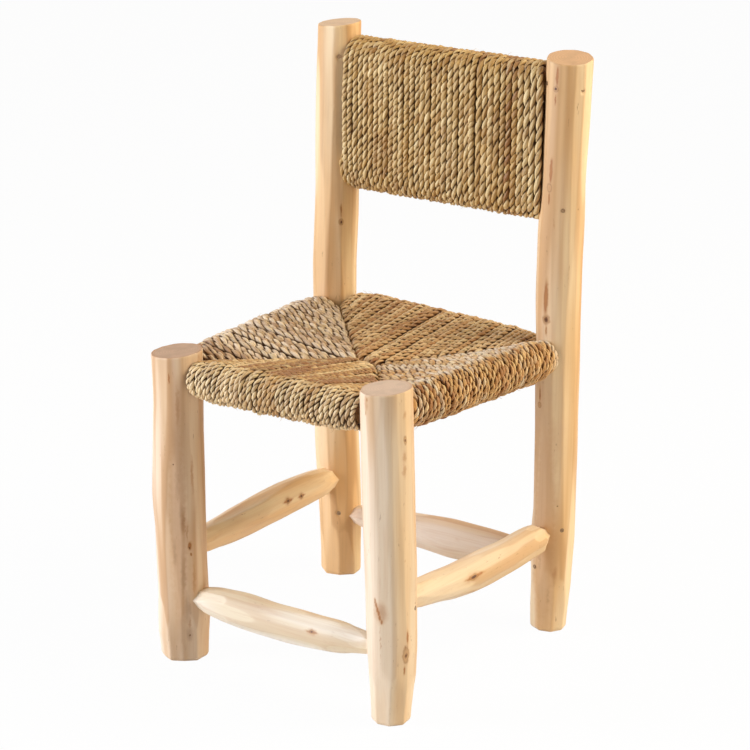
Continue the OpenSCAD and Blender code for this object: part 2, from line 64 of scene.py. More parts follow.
# What marks each leg: height, direction round the leg in degrees, half width, half length, and
# its kind. A ring goes round a knot and a core is its dark middle. A flame is darker grain, a smear
# is left of the inner bark, a dark patch is a long darker area, and dirt is a faint grey-brown streak.
KNOTS = {
    "front_left_leg": [
        (126, -31, 3.2, 5.6, "smear"), (126, -31, 1.4, 3.4, "flame"), (124, -33, 0.8, 1.8, "core"),
        (140, -36, 1.5, 11, "smear"), (117, -30, 1.2, 2.2, "flame"), (29, -42, 1.0, 1.8, "core"),
        (42, -41, 1.6, 9, "smear"), (150, -44, 2.4, 14, "smear"), (128.5, -73, 0.9, 1.1, "core"),
        (212, -62, 0.8, 1.0, "core"), (300, -68, 1.0, 7, "flame"), (270, -50, 2.6, 26, "smear"),
        (90, -25, 2, 22, "smear"), (200, -20, 2, 24, "smear"), (150, -56, 10, 140, "dark_patch"),
        (126, -32, 2.2, 5, "flame"), (155, -46, 3.4, 18, "dirt"), (96, -50, 3.0, 24, "dirt"),
        (60, -44, 3.4, 17, "dirt"), (30, -43, 3.6, 9, "dirt"), (190, -54, 2.6, 22, "dirt"),
        (118, -66, 2.4, 16, "dirt"),
    ],
    "front_right_leg": [
        (74, -21, 3.9, 10, "ring"), (74, -21, 1.7, 3.2, "core"), (93, -16, 1.9, 11, "flame"),
        (58, -24, 1.5, 6, "flame"), (313, -10, 2.4, 5, "smear"), (288, -12, 2.0, 4.6, "ring"),
        (272, -14, 2.8, 7, "smear"), (259, -15, 2.4, 8, "smear"), (288, -12, 0.8, 1.6, "core"),
        (322, -103, 3.4, 9, "smear"), (314, -106, 1.4, 4, "flame"), (327, -100, 1.2, 3, "flame"),
        (170, -19, 1.1, 2.4, "flame"), (149, -76, 0.9, 1.2, "core"), (129, -93, 1.6, 4.4, "flame"),
        (125, -90, 1.8, 4.6, "flame"), (121, -87, 1.8, 4.6, "flame"), (117, -84, 1.8, 4.6, "flame"),
        (113, -81, 1.9, 4.4, "flame"), (109, -77, 1.9, 3.8, "flame"), (112, -72, 1.4, 3.8, "flame"),
        (116, -68, 1.3, 3.8, "flame"), (121, -65, 1.2, 4.2, "smear"), (118, -79, 8, 12, "smear"),
        (80, -81, 0.9, 26, "smear"), (123, 14, 1.0, 1.4, "core"),
    ],
    "back_left_post": [
        (397, -42, 2.8, 3.6, "ring"), (397, -42, 1.2, 1.6, "core"), (410, -42, 1.6, 9, "flame"),
        (520, -70, 0.9, 1.1, "core"), (236, -30, 2.6, 3.4, "ring"), (248, -30, 1.6, 9, "flame"),
        (180, 150, 4, 5, "ring"), (180, 150, 2.2, 2.8, "core"), (198, 150, 2.4, 15, "flame"),
    ],
    "back_right_post": [
        (338, -90, 4.4, 5.4, "ring"), (338, -90, 2.5, 3.4, "core"), (361, -93, 3.1, 23, "flame"),
        (326, -90, 1.6, 8, "flame"), (471, -97, 3.6, 4.8, "ring"), (489, -95, 2.5, 17, "flame"),
        (460, -97, 1.5, 8, "flame"), (569, -92, 3.0, 3.6, "ring"), (569, -92, 1.3, 1.7, "core"),
        (582, -90, 2.3, 13, "flame"), (558, -92, 1.4, 7, "flame"), (450, -15, 1.1, 1.5, "core"),
        (413, -68, 0.8, 1.4, "core"), (382, -45, 0.8, 0.9, "core"), (437, -80, 0.9, 8, "smear"),
        (247, -108, 2.8, 3.6, "ring"), (259, -108, 1.8, 11, "flame"), (162, -22, 1.3, 13, "flame"),
        (141, -51, 1.0, 1.2, "core"), (67, -49, 3.6, 9, "smear"), (400, 70, 4, 5, "ring"),
        (400, 70, 2.2, 2.6, "core"), (416, 70, 2.4, 15, "flame"), (110, -86, 15, 150, "dark_patch"),
        (38, -66, 2.6, 14, "dirt"), (84, -96, 2.4, 18, "dirt"),
    ],
}

# How much thinner or thicker each branch is than the CAD's, and how far it swells at heights
# (height, towards the chair's own left and front, towards its right and back), all in mm
BRANCH_SHARE = {"front_left_leg": 1.0, "front_right_leg": 0.98,
                "back_left_post": 1.0, "back_right_post": 0.972}
SIDES = {
    "front_left_leg": [
        (0, 5.2, 0.2), (25, 5.6, -0.4), (42, 3.4, 0), (62, 1.2, 0), (80, 0.3, 0), (140, -1.0, 0),
        (175, 0, 0), (240, -1.1, -0.6), (270, -1.6, 0.3), (335, 0.3, 0),
    ],
    "front_right_leg": [
        (0, -2.0, -0.8), (35, -1.6, -0.7), (75, -0.8, -0.1), (110, -0.4, 0.3), (220, 0, 0.2),
        (270, 0, 0.9), (340, 0.2, 0.9),
    ],
    "back_left_post": [
        (0, 1.4, 0), (25, 0, 0), (45, -0.2, 0), (120, 0, 0), (280, 0.6, -0.8), (350, 1.4, -1.4),
        (400, 0.5, 0), (430, 0, 0), (470, 0.8, 0), (600, 0.3, 0),
    ],
    "back_right_post": [
        (0, -0.8, -0.6), (50, -0.8, -1.0), (100, 1.6, 0), (130, -0.5, -0.4), (170, -0.5, -0.8),
        (230, -0.4, -0.4), (300, -0.7, 0.6), (350, 0.3, 0.9), (420, 1.6, 0.6), (470, 0.3, -0.2),
        (600, 0, 1.6),
    ],
}
SIDE_TURN = math.radians(35.5)

# Each leg's wood: how much inner bark is left on it, its pale sapwood and its warmer streaks
LEG_WOODS = {
    "front_left_leg": (0.55, (243, 220, 194), (222, 186, 146)),
    "front_right_leg": (0.4, (242, 222, 197), (234, 203, 164)),
    "back_left_post": (0.4, (245, 217, 175), (234, 190, 136)),
    "back_right_post": (0.45, (244, 221, 187), (230, 190, 140)),
}

# How each top is sawn: how much lower its middle is in mm, and its slope along x and y
TOPS = {"front_left_leg": (0.4, 0.075, 0.05), "front_right_leg": (0.4, 0.07, 0.05),
        "back_left_post": (1.6, 0.07, 0.05), "back_right_post": (5.4, -0.1, 0.142)}
TOP_TONES = {"front_left_leg": (204, 172, 148), "front_right_leg": (224, 198, 178),
             "back_left_post": (244, 212, 182), "back_right_post": (230, 188, 150)}

# Nails of each leg: height, and direction round the leg in degrees. The wood is cut down round
# each head to a share of the branch's radius, and a head has its own radius in mm.
NAILS = {
    "front_left_leg": [(113.5, 180), (65, 120)],
    "front_right_leg": [(117.5, 16), (71, 90)],
    "back_left_post": [(571, -54), (455, 100), (73, -58), (108.5, 180)],
    "back_right_post": [(572, -131), (568, -18), (449.5, -58), (70.5, -113), (114, -35)],
}
NAIL_SEAT = 0.95
NAIL_HEAD_R = 2.5


def surface_rays(mesh):
    """A mesh's surface in millimetres, for rays to be cast at."""
    points = [vertex.co / MM for vertex in mesh.vertices]
    return BVHTree.FromPolygons(points, [tuple(face.vertices) for face in mesh.polygons])


def follow_branch(node, along, first, last, step=5.0):
    """Stations along a CAD branch, with its centre across them and its radius there, in mm."""
    rays = surface_rays(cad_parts[node].data)
    u, v = (along + 1) % 3, (along + 2) % 3
    low, high = (np.array(corner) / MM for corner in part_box(node))
    centre = ((low + high) / 2)[[u, v]]
    outside = 60
    stations = np.linspace(first, last, int((last - first) / step) + 2)
    found = []
    for station in stations:
        hits = []
        for turn in np.radians(np.arange(0, 360, 15)):
            start = Vector((station, station, station))
            start[u] = centre[0] + outside * math.cos(turn)
            start[v] = centre[1] + outside * math.sin(turn)
            way = Vector((0, 0, 0))
            way[u] = -math.cos(turn)
            way[v] = -math.sin(turn)
            hit = rays.ray_cast(start, way, outside)[0]
            if hit is not None:
                hits.append((hit[u], hit[v]))
        # A circle is fitted to the hits, and those on a mortise or a flat are left out of the next
        hits = np.array(hits)
        keep = np.ones(len(hits), bool)
        for trial in range(6):
            table = np.c_[2 * hits[keep], np.ones(keep.sum())]
            a, b, c = np.linalg.lstsq(table, (hits[keep] ** 2).sum(1), rcond=None)[0]
            radius = math.sqrt(max(c + a * a + b * b, 1))
            gap = np.abs(np.hypot(hits[:, 0] - a, hits[:, 1] - b) - radius)
            keep = gap <= max(0.9, np.median(gap) * 1.5)
        centre = np.array((a, b))
        found.append((a, b, radius))
    found = np.array(found)
    evened = found.copy()
    evened[1:-1] = (found[:-2] + 2 * found[1:-1] + found[2:]) / 4
    return stations, evened


def line_at(line, s):
    """The centre and the radius of a followed branch at stations s."""
    stations, found = line
    return [np.interp(s, stations, found[:, k]) for k in range(3)]


def cut_flat(left, flat, soft=0.16):
    """What is left of radius left after a cut down to radius flat, with a soft arris."""
    share = np.clip(0.5 + 0.5 * (flat - left) / soft, 0, 1)
    return flat * (1 - share) + left * share - soft * share * (1 - share)


def knife_flats(round_r, s, turn, strokes):
    """A round surface after knife strokes, each (middle, half length, direction, depth)."""
    left = round_r
    for middle, half, way, depth in strokes:
        face = np.maximum(np.cos(turn - way), 0.05)
        left = cut_flat(left, (round_r - depth * (1 - ((s - middle) / half) ** 2)) / face)
    return left


def soft_noise(rng, s, turn, amount, length, waves=5):
    """Smooth unevenness over a branch: amount in mm, with waves of about that length."""
    total = np.zeros_like(s)
    for wave in range(waves):
        around = rng.integers(0, 4)
        total += np.sin(s * rng.uniform(0.6, 1.6) * 2 * math.pi / length
                        + around * turn + rng.uniform(0, 2 * math.pi))
    return total * amount / waves


def round_from(turn, way, radius):
    """How far round a branch a turn is from a direction in degrees, in mm."""
    return (turn - math.radians(way) + math.pi) % (2 * math.pi) * radius - math.pi * radius


def new_piece(name, mesh):
    """A mesh as an object of the scene."""
    piece = bpy.data.objects.new(name, mesh)
    bpy.context.scene.collection.objects.link(piece)
    return piece


def turned_mesh(name, along, sides, rows, place):
    """A closed tube of rows of sides, each vertex put by place(row, turn), with rings on its ends."""
    bm = bmesh.new()
    bmesh.ops.create_cone(bm, cap_ends=True, cap_tris=False, segments=sides, radius1=1, radius2=1, depth=1)
    upright = [edge for edge in bm.edges if abs(edge.verts[0].co.z - edge.verts[1].co.z) > 0.5]
    bmesh.ops.subdivide_edges(bm, edges=upright, cuts=rows - 2, use_grid_fill=True)
    spots = np.array([vertex.co for vertex in bm.verts])
    row = np.rint((spots[:, 2] + 0.5) * (rows - 1)).astype(int)
    turn = np.arctan2(spots[:, 1], spots[:, 0])
    station, across_u, across_v, skin = place(row, turn)
    order = [along, (along + 1) % 3, (along + 2) % 3]
    placed = np.zeros_like(spots)
    placed[:, order[0]] = station
    placed[:, order[1]] = across_u
    placed[:, order[2]] = across_v
    for vertex, spot in zip(bm.verts, placed * MM):
        vertex.co = spot
    skin_layer = bm.verts.layers.float.new("skin")
    for vertex, share in zip(bm.verts, skin):
        vertex[skin_layer] = share
    ends = [face for face in bm.faces if len(face.verts) == sides]
    for face in ends:
        face.material_index = 1
        for ring in (1.1, 3, 3):
            made = bmesh.ops.inset_individual(bm, faces=[face], thickness=ring * MM, depth=0)
            for part in made["faces"]:
                part.material_index = 1
        made = bmesh.ops.poke(bm, faces=[face])
        for part in made["faces"]:
            part.material_index = 1
    for face in bm.faces:
        face.smooth = True
    mesh = bpy.data.meshes.new(name)
    bm.to_mesh(mesh)
    bm.free()
    mesh.set_sharp_from_angle(angle=math.radians(50))
    return new_piece(name, mesh)


def peeled_leg(name, seed):
    """One leg, carved round its CAD branch."""
    rng = np.random.default_rng(seed)
    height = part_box(name)[1][2] / MM
    line = follow_branch(name, 2, 3, height - 3)
    rows = int(height / LEG_ROW)
    inner = np.linspace(3.2, height - 4.2, rows - 9)
    levels = np.concatenate([[0, 0.5, 1.2, 2.1], inner, [height - k for k in (3, 2, 1.2, 0.6, 0)]])
    strokes = []
    for level in np.arange(70, height + 70, FLATS_EVERY):
        first = rng.uniform(0, 1)
        for k in range(LEG_FLATS):
            middle = level + rng.uniform(-60, 60)
            half = rng.uniform(70, 180)
            way = (k + first + rng.uniform(-0.35, 0.35)) * 2 * math.pi / LEG_FLATS
            strokes.append((middle, half, way, rng.uniform(0.3, 1.25)))
    feet = []
    for k in range(FOOT_FLATS):
        way = (k + rng.uniform(-0.25, 0.25)) * 2 * math.pi / FOOT_FLATS
        feet.append((way, rng.uniform(-14, 14)))
    swells = np.array(SIDES[name])
    drop, slope_x, slope_y = TOPS[name]

    def place(row, turn):
        z = levels[row]
        u, v, fitted = line_at(line, z)
        grown = line_at(line, np.maximum(z, FOOT_TOP))[2]
        raw = grown * BRANCH_SHARE[name] + soft_noise(rng, z, turn, 0.4, 110)
        left = knife_flats(raw, z, turn, strokes)
        for way, shift in feet:
            nearby = [np.clip(z + shift + step, 3, FOOT_TOP) for step in (-18, -6, 6, 18)]
            flat = sum(line_at(line, level)[2] for level in nearby) / 4
            flat = flat * (BRANCH_SHARE[name] - 0.008)
            flat = flat + np.maximum(z + shift - FOOT_TOP + 20, 0) * 0.09
            left = cut_flat(left, flat / np.maximum(np.cos(turn - way), 0.05), 0.9)
        skin = 1 - np.clip((raw - left) / 0.5, 0, 1)
        for shares, way in ((swells[:, 1], SIDE_TURN + math.pi), (swells[:, 2], SIDE_TURN)):
            left = left + np.interp(z, swells[:, 0], shares) * np.maximum(np.cos(turn - way), 0) ** 1.5
        for level, way, wide, tall, kind in KNOTS[name]:
            gap = np.hypot((z - level) / tall, round_from(turn, way, left) / wide)
            if kind == "ring":
                left = left + 0.6 * np.exp(-(gap / 1.9) ** 2)
            if kind == "core":
                left = left - 0.5 * np.exp(-(gap / 1.1) ** 2)
        for level, way in NAILS[name]:
            gap = np.hypot(z - level, round_from(turn, way, left))
            seat = fitted * NAIL_SEAT + np.maximum(gap - NAIL_HEAD_R, 0) * 1.2
            left = np.where(gap < 2 * NAIL_HEAD_R, np.minimum(left, seat), left)
        # The arrises of the top and of the foot are taken off, and the top slopes and is hollow
        edge = 1.8 + soft_noise(rng, turn * 12, turn, 0.8, 30)
        left = left - 0.6 * np.maximum(1 - (height - z) / edge, 0) ** 1.6
        left = left - 1.7 * np.maximum(1 - z / 3.6, 0) ** 1.7
        across = left * np.cos(turn)
        deep = left * np.sin(turn)
        sawn = across * slope_x + deep * slope_y - drop
        z = z + sawn * np.clip(1 - (height - z) / 45, 0, 1)
        return z, u + across, v + deep, skin

    return turned_mesh(name + "_branch", 2, LEG_SIDES, rows, place), line, height


def shade(red, green, blue):
    """A colour as seen on a screen, 0 to 255, as the shader's own numbers."""
    parts = [part / 255 for part in (red, green, blue)]
    return tuple(p / 12.92 if p < 0.04045 else ((p + 0.055) / 1.055) ** 2.4 for p in parts) + (1,)


def add(tree, kind, sockets=None, **settings):
    """A shader node with its settings and its sockets, each a number or another node's output."""
    made = tree.nodes.new("ShaderNode" + kind)
    for name, value in settings.items():
        setattr(made, name, value)
    for name, value in (sockets or {}).items():
        if isinstance(value, bpy.types.NodeSocket):
            tree.links.new(value, made.inputs[name])
        else:
            made.inputs[name].default_value = value
    return made


def noise(tree, place, scale, detail=3.0, rough=0.55):
    """Noise of that many waves to a metre."""
    return add(tree, "TexNoise", {"Vector": place, "Scale": scale, "Detail": detail,
                                  "Roughness": rough}).outputs[0]


def spread(tree, value, low, high, to_low=0.0, to_high=1.0):
    """The part of value from low to high, stretched to run from to_low to to_high."""
    return add(tree, "MapRange", {"Value": value, "From Min": low, "From Max": high,
                                  "To Min": to_low, "To Max": to_high},
               interpolation_type="SMOOTHSTEP").outputs[0]


def work(tree, operation, first, second=0.0):
    """Two numbers put together."""
    return add(tree, "Math", {0: first, 1: second}, operation=operation).outputs[0]


def tint(tree, share, under, over, mode="MIX"):
    """A colour laid over another by share."""
    return add(tree, "Mix", {0: share, 6: under, 7: over}, data_type="RGBA", blend_type=mode,
               clamp_factor=True).outputs[2]


def ramp(tree, value, stops):
    """A colour ramp from (place, colour with its cover) stops, as (colour, cover)."""
    made = add(tree, "ValToRGB", {0: value})
    band = made.color_ramp
    band.elements[0].position = stops[0][0]
    band.elements[-1].position = stops[-1][0]
    for spot, colour in stops[1:-1]:
        band.elements.new(spot)
    for element, (spot, colour) in zip(band.elements, stops):
        element.color = colour
    return made.outputs[0], made.outputs[1]


def bare_material(name):
    """A new material, with its node tree, its shader and the piece's own coordinates."""
    material = bpy.data.materials.new(name)
    material.use_nodes = True
    tree = material.node_tree
    return material, tree, tree.nodes["Principled BSDF"], add(tree, "TexCoord").outputs["Object"]


def marks(tree, place, spots):
    """How near a place is to the nearest of the spots, each (where, size across the three axes)."""
    nearest = None
    for where, size in spots:
        local = add(tree, "Mapping", {"Vector": place, "Location": where, "Scale": size},
                    vector_type="TEXTURE").outputs[0]
        far = add(tree, "VectorMath", {0: local}, operation="LENGTH").outputs["Value"]
        nearest = far if nearest is None else work(tree, "MINIMUM", nearest, far)
    return nearest


# For each kind of mark, how uneven its edge is in metres, and how its colour goes from its middle
# to its edge, as (share of the way, colour, cover)
MARK_COLOURS = {
    "dark_patch": (0.007, [
        (0.0, (198, 150, 102), 0.66), (0.55, (204, 156, 108), 0.52), (1.0, (222, 184, 142), 0.0),
    ]),
    "smear": (0.004, [
        (0.0, (188, 134, 92), 0.68), (0.5, (200, 150, 106), 0.5), (1.0, (222, 184, 142), 0.0),
    ]),
    "flame": (0.0016, [
        (0.0, (186, 124, 66), 0.9), (0.5, (170, 106, 54), 0.85), (0.75, (204, 156, 106), 0.4),
        (1.0, (222, 184, 140), 0.0),
    ]),
    "ring": (0.0035, [
        (0.0, (198, 148, 98), 0.85), (0.4, (206, 160, 110), 0.7), (0.66, (168, 118, 74), 0.66),
        (0.84, (194, 148, 104), 0.36), (1.0, (216, 178, 136), 0.0),
    ]),
    "dirt": (0.005, [
        (0.0, (160, 116, 80), 0.42), (0.5, (172, 128, 90), 0.3), (1.0, (196, 152, 112), 0.0),
    ]),
    "core": (0.0022, [
        (0.0, (120, 84, 62), 1.0), (0.35, (84, 54, 38), 1.0), (0.65, (120, 78, 50), 0.9),
        (1.0, (180, 132, 92), 0.0),
    ]),
}


def peeled_wood(name, along, seed, knots, bark, pale, warm):
    """Bare branch wood: pale sapwood, grain along the branch, bark left between the knife's flats."""
    material, tree, shader, place = bare_material(name)

    def drawn_out(share, shift):
        scale = [1.0, 1.0, 1.0]
        scale[along] = share
        return add(tree, "Mapping", {"Vector": place, "Location": (seed * 0.37 + shift, seed * 0.11, shift),
                                     "Scale": tuple(scale)}).outputs[0]

    tone = noise(tree, drawn_out(0.09, 0.0), 48, 1.5, 0.4)
    lines = noise(tree, drawn_out(0.02, 1.3), 560, 2.0, 0.5)
    bands = noise(tree, drawn_out(0.06, 2.1), 120, 2.0)
    flecks = noise(tree, drawn_out(0.25, 3.7), 360, 3.0, 0.65)
    blotch = noise(tree, drawn_out(0.4, 5.2), 30, 2.0)
    skin = add(tree, "Attribute", attribute_name="skin").outputs["Fac"]

    colour = tint(tree, spread(tree, tone, 0.34, 0.66), shade(*pale), shade(*warm))
    colour = tint(tree, spread(tree, bands, 0.5, 0.75, 0.0, 0.2), colour, shade(218, 178, 134))
    colour = tint(tree, spread(tree, lines, 0.45, 0.72, 0.0, 0.17), colour, shade(206, 164, 122))
    colour = tint(tree, spread(tree, blotch, 0.55, 0.75, 0.0, 0.3), colour, shade(228, 188, 154))
    rest = work(tree, "MULTIPLY", spread(tree, skin, 0.1, 1.0), spread(tree, tone, 0.25, 0.6))
    colour = tint(tree, work(tree, "MULTIPLY", rest, bark), colour, shade(190, 138, 88))
    dirt = work(tree, "MULTIPLY", spread(tree, flecks, 0.63, 0.75), spread(tree, blotch, 0.42, 0.62))
    colour = tint(tree, work(tree, "MULTIPLY", dirt, 0.65), colour, shade(156, 108, 70))
    height = work(tree, "ADD", work(tree, "MULTIPLY", lines, 0.5), work(tree, "MULTIPLY", bands, 0.8))

    # The marks' edges are made uneven by a cloud that shifts the place they are looked up at
    cloud = add(tree, "TexNoise", {"Vector": place, "Scale": 200, "Detail": 2.0}).outputs[1]
    cloud = add(tree, "VectorMath", {0: cloud, 1: (0.5, 0.5, 0.5)}, operation="SUBTRACT").outputs[0]
    for kind, (uneven, stops) in MARK_COLOURS.items():
        spots = [(spot, size) for spot, size, own_kind in knots if own_kind == kind]
        if spots:
            bent = add(tree, "VectorMath", {0: cloud, "Scale": uneven}, operation="SCALE").outputs[0]
            bent = add(tree, "VectorMath", {0: place, 1: bent}, operation="ADD").outputs[0]
            stops = [(far, (*shade(*hue)[:3], cover)) for far, hue, cover in stops]
            hue, cover = ramp(tree, marks(tree, bent, spots), stops)
            colour = tint(tree, cover, colour, hue)
    tree.links.new(colour, shader.inputs["Base Color"])
    tree.links.new(spread(tree, bands, 0.3, 0.7, 0.45, 0.62), shader.inputs["Roughness"])
    shader.inputs["Specular IOR Level"].default_value = 0.35
    grain = add(tree, "Bump", {"Height": height, "Strength": 0.3, "Distance": 0.0004})
    tree.links.new(grain.outputs[0], shader.inputs["Normal"])
    return material


def sawn_end(name, centre, along, seed, pale=(240, 207, 180)):
    """End grain: growth rings round the pith, a darker rim and the saw's fine marks."""
    material, tree, shader, place = bare_material(name)
    size = [1.0, 1.0, 1.0]
    size[along] = 1000.0
    local = add(tree, "Mapping", {"Vector": place, "Location": centre, "Scale": tuple(size)},
                vector_type="TEXTURE").outputs[0]
    far = add(tree, "VectorMath", {0: local}, operation="LENGTH").outputs["Value"]
    cloud = noise(tree, place, 55 + seed, 3.0)
    bent = work(tree, "ADD", far, work(tree, "MULTIPLY", cloud, 0.006))
    ring_width = 0.0026
    rings = work(tree, "SINE", work(tree, "MULTIPLY", bent, 2 * math.pi / ring_width))
    late_wood = shade(*(0.87 * part for part in pale))
    greyed = shade(*(0.9 * part for part in pale))
    colour = tint(tree, spread(tree, rings, -0.6, 1.0, 0.0, 0.3), shade(*pale), late_wood)
    colour = tint(tree, spread(tree, cloud, 0.42, 0.7, 0.0, 0.6), colour, greyed)
    colour = tint(tree, spread(tree, far, 0.02, 0.0245, 0.0, 0.4), colour, shade(196, 148, 112))
    tree.links.new(colour, shader.inputs["Base Color"])
    shader.inputs["Roughness"].default_value = 0.75
    shader.inputs["Specular IOR Level"].default_value = 0.25
    saw = add(tree, "Bump", {"Height": noise(tree, place, 900, 2.0), "Strength": 0.4, "Distance": 0.0005})
    tree.links.new(saw.outputs[0], shader.inputs["Normal"])
    return material


legs = {}
for name, seed in LEGS.items():
    piece, line, height = peeled_leg(name, seed)
    legs[name] = (piece, line)
    knots = []
    for level, way, wide, tall, kind in KNOTS[name]:
        u, v, r = (float(part) for part in line_at(line, level))
        turn = math.radians(way)
        spot = Vector((u + r * math.cos(turn), v + r * math.sin(turn), level)) * MM
        knots.append((spot, (wide * 1.2 * MM, wide * 1.2 * MM, tall * 1.2 * MM), kind))
    top = [float(part) * MM for part in line_at(line, height)[:2]]
    piece.data.materials.append(peeled_wood(name + "_wood", 2, seed, knots, *LEG_WOODS[name]))
    piece.data.materials.append(sawn_end(name + "_end", (*top, 0), 2, seed, TOP_TONES[name]))
    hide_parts(name)
    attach(piece, "root")

# The four stretchers: thinner branches, whittled all round, thickest near the middle. Each end is
# drawn down like a pencil, butts on the leg's round and runs on into it as a round tenon.

# Each runs along x or y (0 or 1) between two legs, and has a seed and a tenon's radius.
STRETCHERS = {
    "front_stretcher": (0, "front_left_leg", "front_right_leg", 21, 12.0),
    "back_stretcher": (0, "back_left_post", "back_right_post", 22, 10.0),
    "left_stretcher": (1, "front_left_leg", "back_left_post", 23, 12.0),
    "right_stretcher": (1, "front_right_leg", "back_right_post", 24, 12.0),
}

# Its sides and its rows from leg to leg; how far its tenons reach past the middle of the leg and its
# body into the leg's round; its knife flats round one band and round an end; and the length of a tip
STRETCHER_SIDES = 96
BODY_ROWS = 190
PAST_MIDDLE = 4
BUTT = 0.5
STRETCHER_FLATS = 7
TIP = 13

# How thick each stretcher is beside its CAD branch: at its low end, its middle and its high end,
# and how far its two ends are drawn down to a point in mm
WHITTLED = {
    "front_stretcher": (0.99, 0.975, 0.97, 1.9, 1.6),
    "back_stretcher": (1.1, 0.97, 1.0, 1.4, 1.6),
    "left_stretcher": (1.1, 1.02, 1.02, 1.4, 1.4),
    "right_stretcher": (1.0, 0.97, 0.97, 1.8, 4.6),
}

# Each stretcher's wood: how much inner bark is left on it, its pale sapwood and its warmer streaks
STRETCHER_WOODS = {
    "front_stretcher": (0.22, (252, 242, 226), (238, 220, 190)),
    "back_stretcher": (0.4, (242, 225, 207), (230, 202, 172)),
    # The left stretcher's wood is painted paler than the others', as painted light lifting its shade
    "left_stretcher": (0.12, (255, 238, 208), (252, 216, 170)),
    "right_stretcher": (0.4, (240, 220, 194), (230, 200, 160)),
}

# Knots of each stretcher: where on its surface in mm, and the size along and across it
STRETCHER_KNOTS = {
    "front_stretcher": [((44.6, -154, 73.3), 3.6, 2.4), ((-60, -130, 88), 4, 2)],
    "back_stretcher": [((30, 118, 80), 4, 2.6)],
    "left_stretcher": [((-117.4, 22.7, 118.7), 3.6, 2.8), ((-117.7, 45.5, 117.3), 3.2, 2.4)],
    "right_stretcher": [((148.4, -27.3, 112.8), 9, 2.8)],
}

# A knot there is made of these marks, each so many times its size across and along
KNOT_MARKS = [("smear", 2.2, 2.0), ("flame", 0.8, 3.2), ("ring", 1.3, 1.2), ("core", 0.7, 0.7)]


def whittled_stretcher(name, along, low_leg, high_leg, seed, tenon_r):
    """One stretcher, carved round its CAD branch and coped to the two legs that it joins."""
    rng = np.random.default_rng(seed)
    u_axis, v_axis = (along + 1) % 3, (along + 2) % 3
    low, high = (np.array(corner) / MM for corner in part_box(name))
    ends = []
    for leg in (low_leg, high_leg):
        u, v, r = (float(part) for part in line_at(legs[leg][1], (low[2] + high[2]) / 2))
        ends.append(((u, v)[along], r))
    first = ends[0][0] + ends[0][1]
    last = ends[1][0] - ends[1][1]
    line = follow_branch(name, along, first + 3, last - 3)
    strokes = []
    for level in np.arange(first + 15, last, 55):
        for k in range(STRETCHER_FLATS):
            middle = level + rng.uniform(-28, 28)
            half = rng.uniform(26, 90)
            way = (k + rng.uniform(-0.4, 0.4)) * 2 * math.pi / STRETCHER_FLATS
            strokes.append((middle, half, way, rng.uniform(0.4, 1.4)))
    at_first, at_middle, at_last, drawn_first, drawn_last = WHITTLED[name]
    points = []
    for side in (0, 1):
        for k in range(STRETCHER_FLATS):
            way = (k + rng.uniform(-0.25, 0.25)) * 2 * math.pi / STRETCHER_FLATS
            points.append((side, way, rng.uniform(14, 40)))

    def body(s, turn):
        """The centre, the radius and the bark left at stations s and turns round them."""
        u, v, fitted = line_at(line, s)
        fitted = fitted * np.interp(s, [first, (first + last) / 2, last], [at_first, at_middle, at_last])
        raw = fitted + soft_noise(np.random.default_rng(seed + 100), s, turn, 0.4, 70)
        left = knife_flats(raw, s, turn, strokes)
        for side, way, reach in points:
            inside = s - first if side == 0 else last - s
            drawn = (drawn_first if side == 0 else drawn_last) * np.clip(1 - inside / TIP, 0, 1)
            flat = fitted * 0.95 + np.maximum(inside - reach, 0) * 0.12 - drawn
            left = cut_flat(left, flat / np.maximum(np.cos(turn - way), 0.05), 0.14)
        skin = 1 - np.clip((raw - left) / 0.45, 0, 1)
        left = left - 0.5 * np.clip(1 - np.minimum(s - first, last - s) / 4, 0, 1) ** 2
        return u, v, left, skin

    rays = [surface_rays(legs[leg][0].data) for leg in (low_leg, high_leg)]

    def coped(side, turn, r=None):
        """Where a line along the stretcher meets the leg, at r from its centre or on its skin."""
        found = {}
        edge = first if side == 0 else last
        u, v = (float(part) for part in line_at(line, edge)[:2])
        for angle in np.unique(np.round(turn, 6)):
            start = Vector((0, 0, 0))
            start[along] = (first + last) / 2
            reach = r or float(body(np.array([edge]), np.array([angle]))[2][0])
            start[u_axis] = u + reach * math.cos(angle)
            start[v_axis] = v + reach * math.sin(angle)
            way = Vector((0, 0, 0))
            way[along] = -1 if side == 0 else 1
            hit = rays[side].ray_cast(start, way, 400)[0]
            found[angle] = hit[along] if hit is not None else edge
        return np.array([found[angle] for angle in np.round(turn, 6)])

    rows = BODY_ROWS + 6
    shares = np.linspace(0, 1, BODY_ROWS)
    shares = shares + 0.08 * np.sin(4 * math.pi * shares) * -0.25

    def place(row, turn):
        shoulder = [coped(0, turn) - BUTT, coped(1, turn) + BUTT]
        share = np.interp(row - 3, np.arange(BODY_ROWS), shares)
        s = shoulder[0] + share * (shoulder[1] - shoulder[0])
        u, v, r, skin = body(s, turn)
        tips = [ends[0][0] - PAST_MIDDLE, ends[1][0] + PAST_MIDDLE]
        necks = [np.minimum(shoulder[0], coped(0, turn, tenon_r + 0.5)) - 1,
                 np.maximum(shoulder[1], coped(1, turn, tenon_r + 0.5)) + 1]
        # The three rows at each end are the tenon: its chamfered tip, and its neck inside the leg
        for side, rungs in ((0, (0, 1, 2)), (1, (rows - 1, rows - 2, rows - 3))):
            chamfer = 0.8 if side == 0 else -0.8
            at_end = line_at(line, first if side == 0 else last)
            spots = (np.full(len(row), tips[side]), np.full(len(row), tips[side] + chamfer), necks[side])
            for rung, here, size in zip(rungs, spots, (tenon_r - 0.8, tenon_r, tenon_r)):
                chosen = row == rung
                s[chosen] = here[chosen]
                u[chosen] = at_end[0]
                v[chosen] = at_end[1]
                r[chosen] = size
        return s, u + r * np.cos(turn), v + r * np.sin(turn), skin

    return turned_mesh(name + "_branch", along, STRETCHER_SIDES, rows, place)


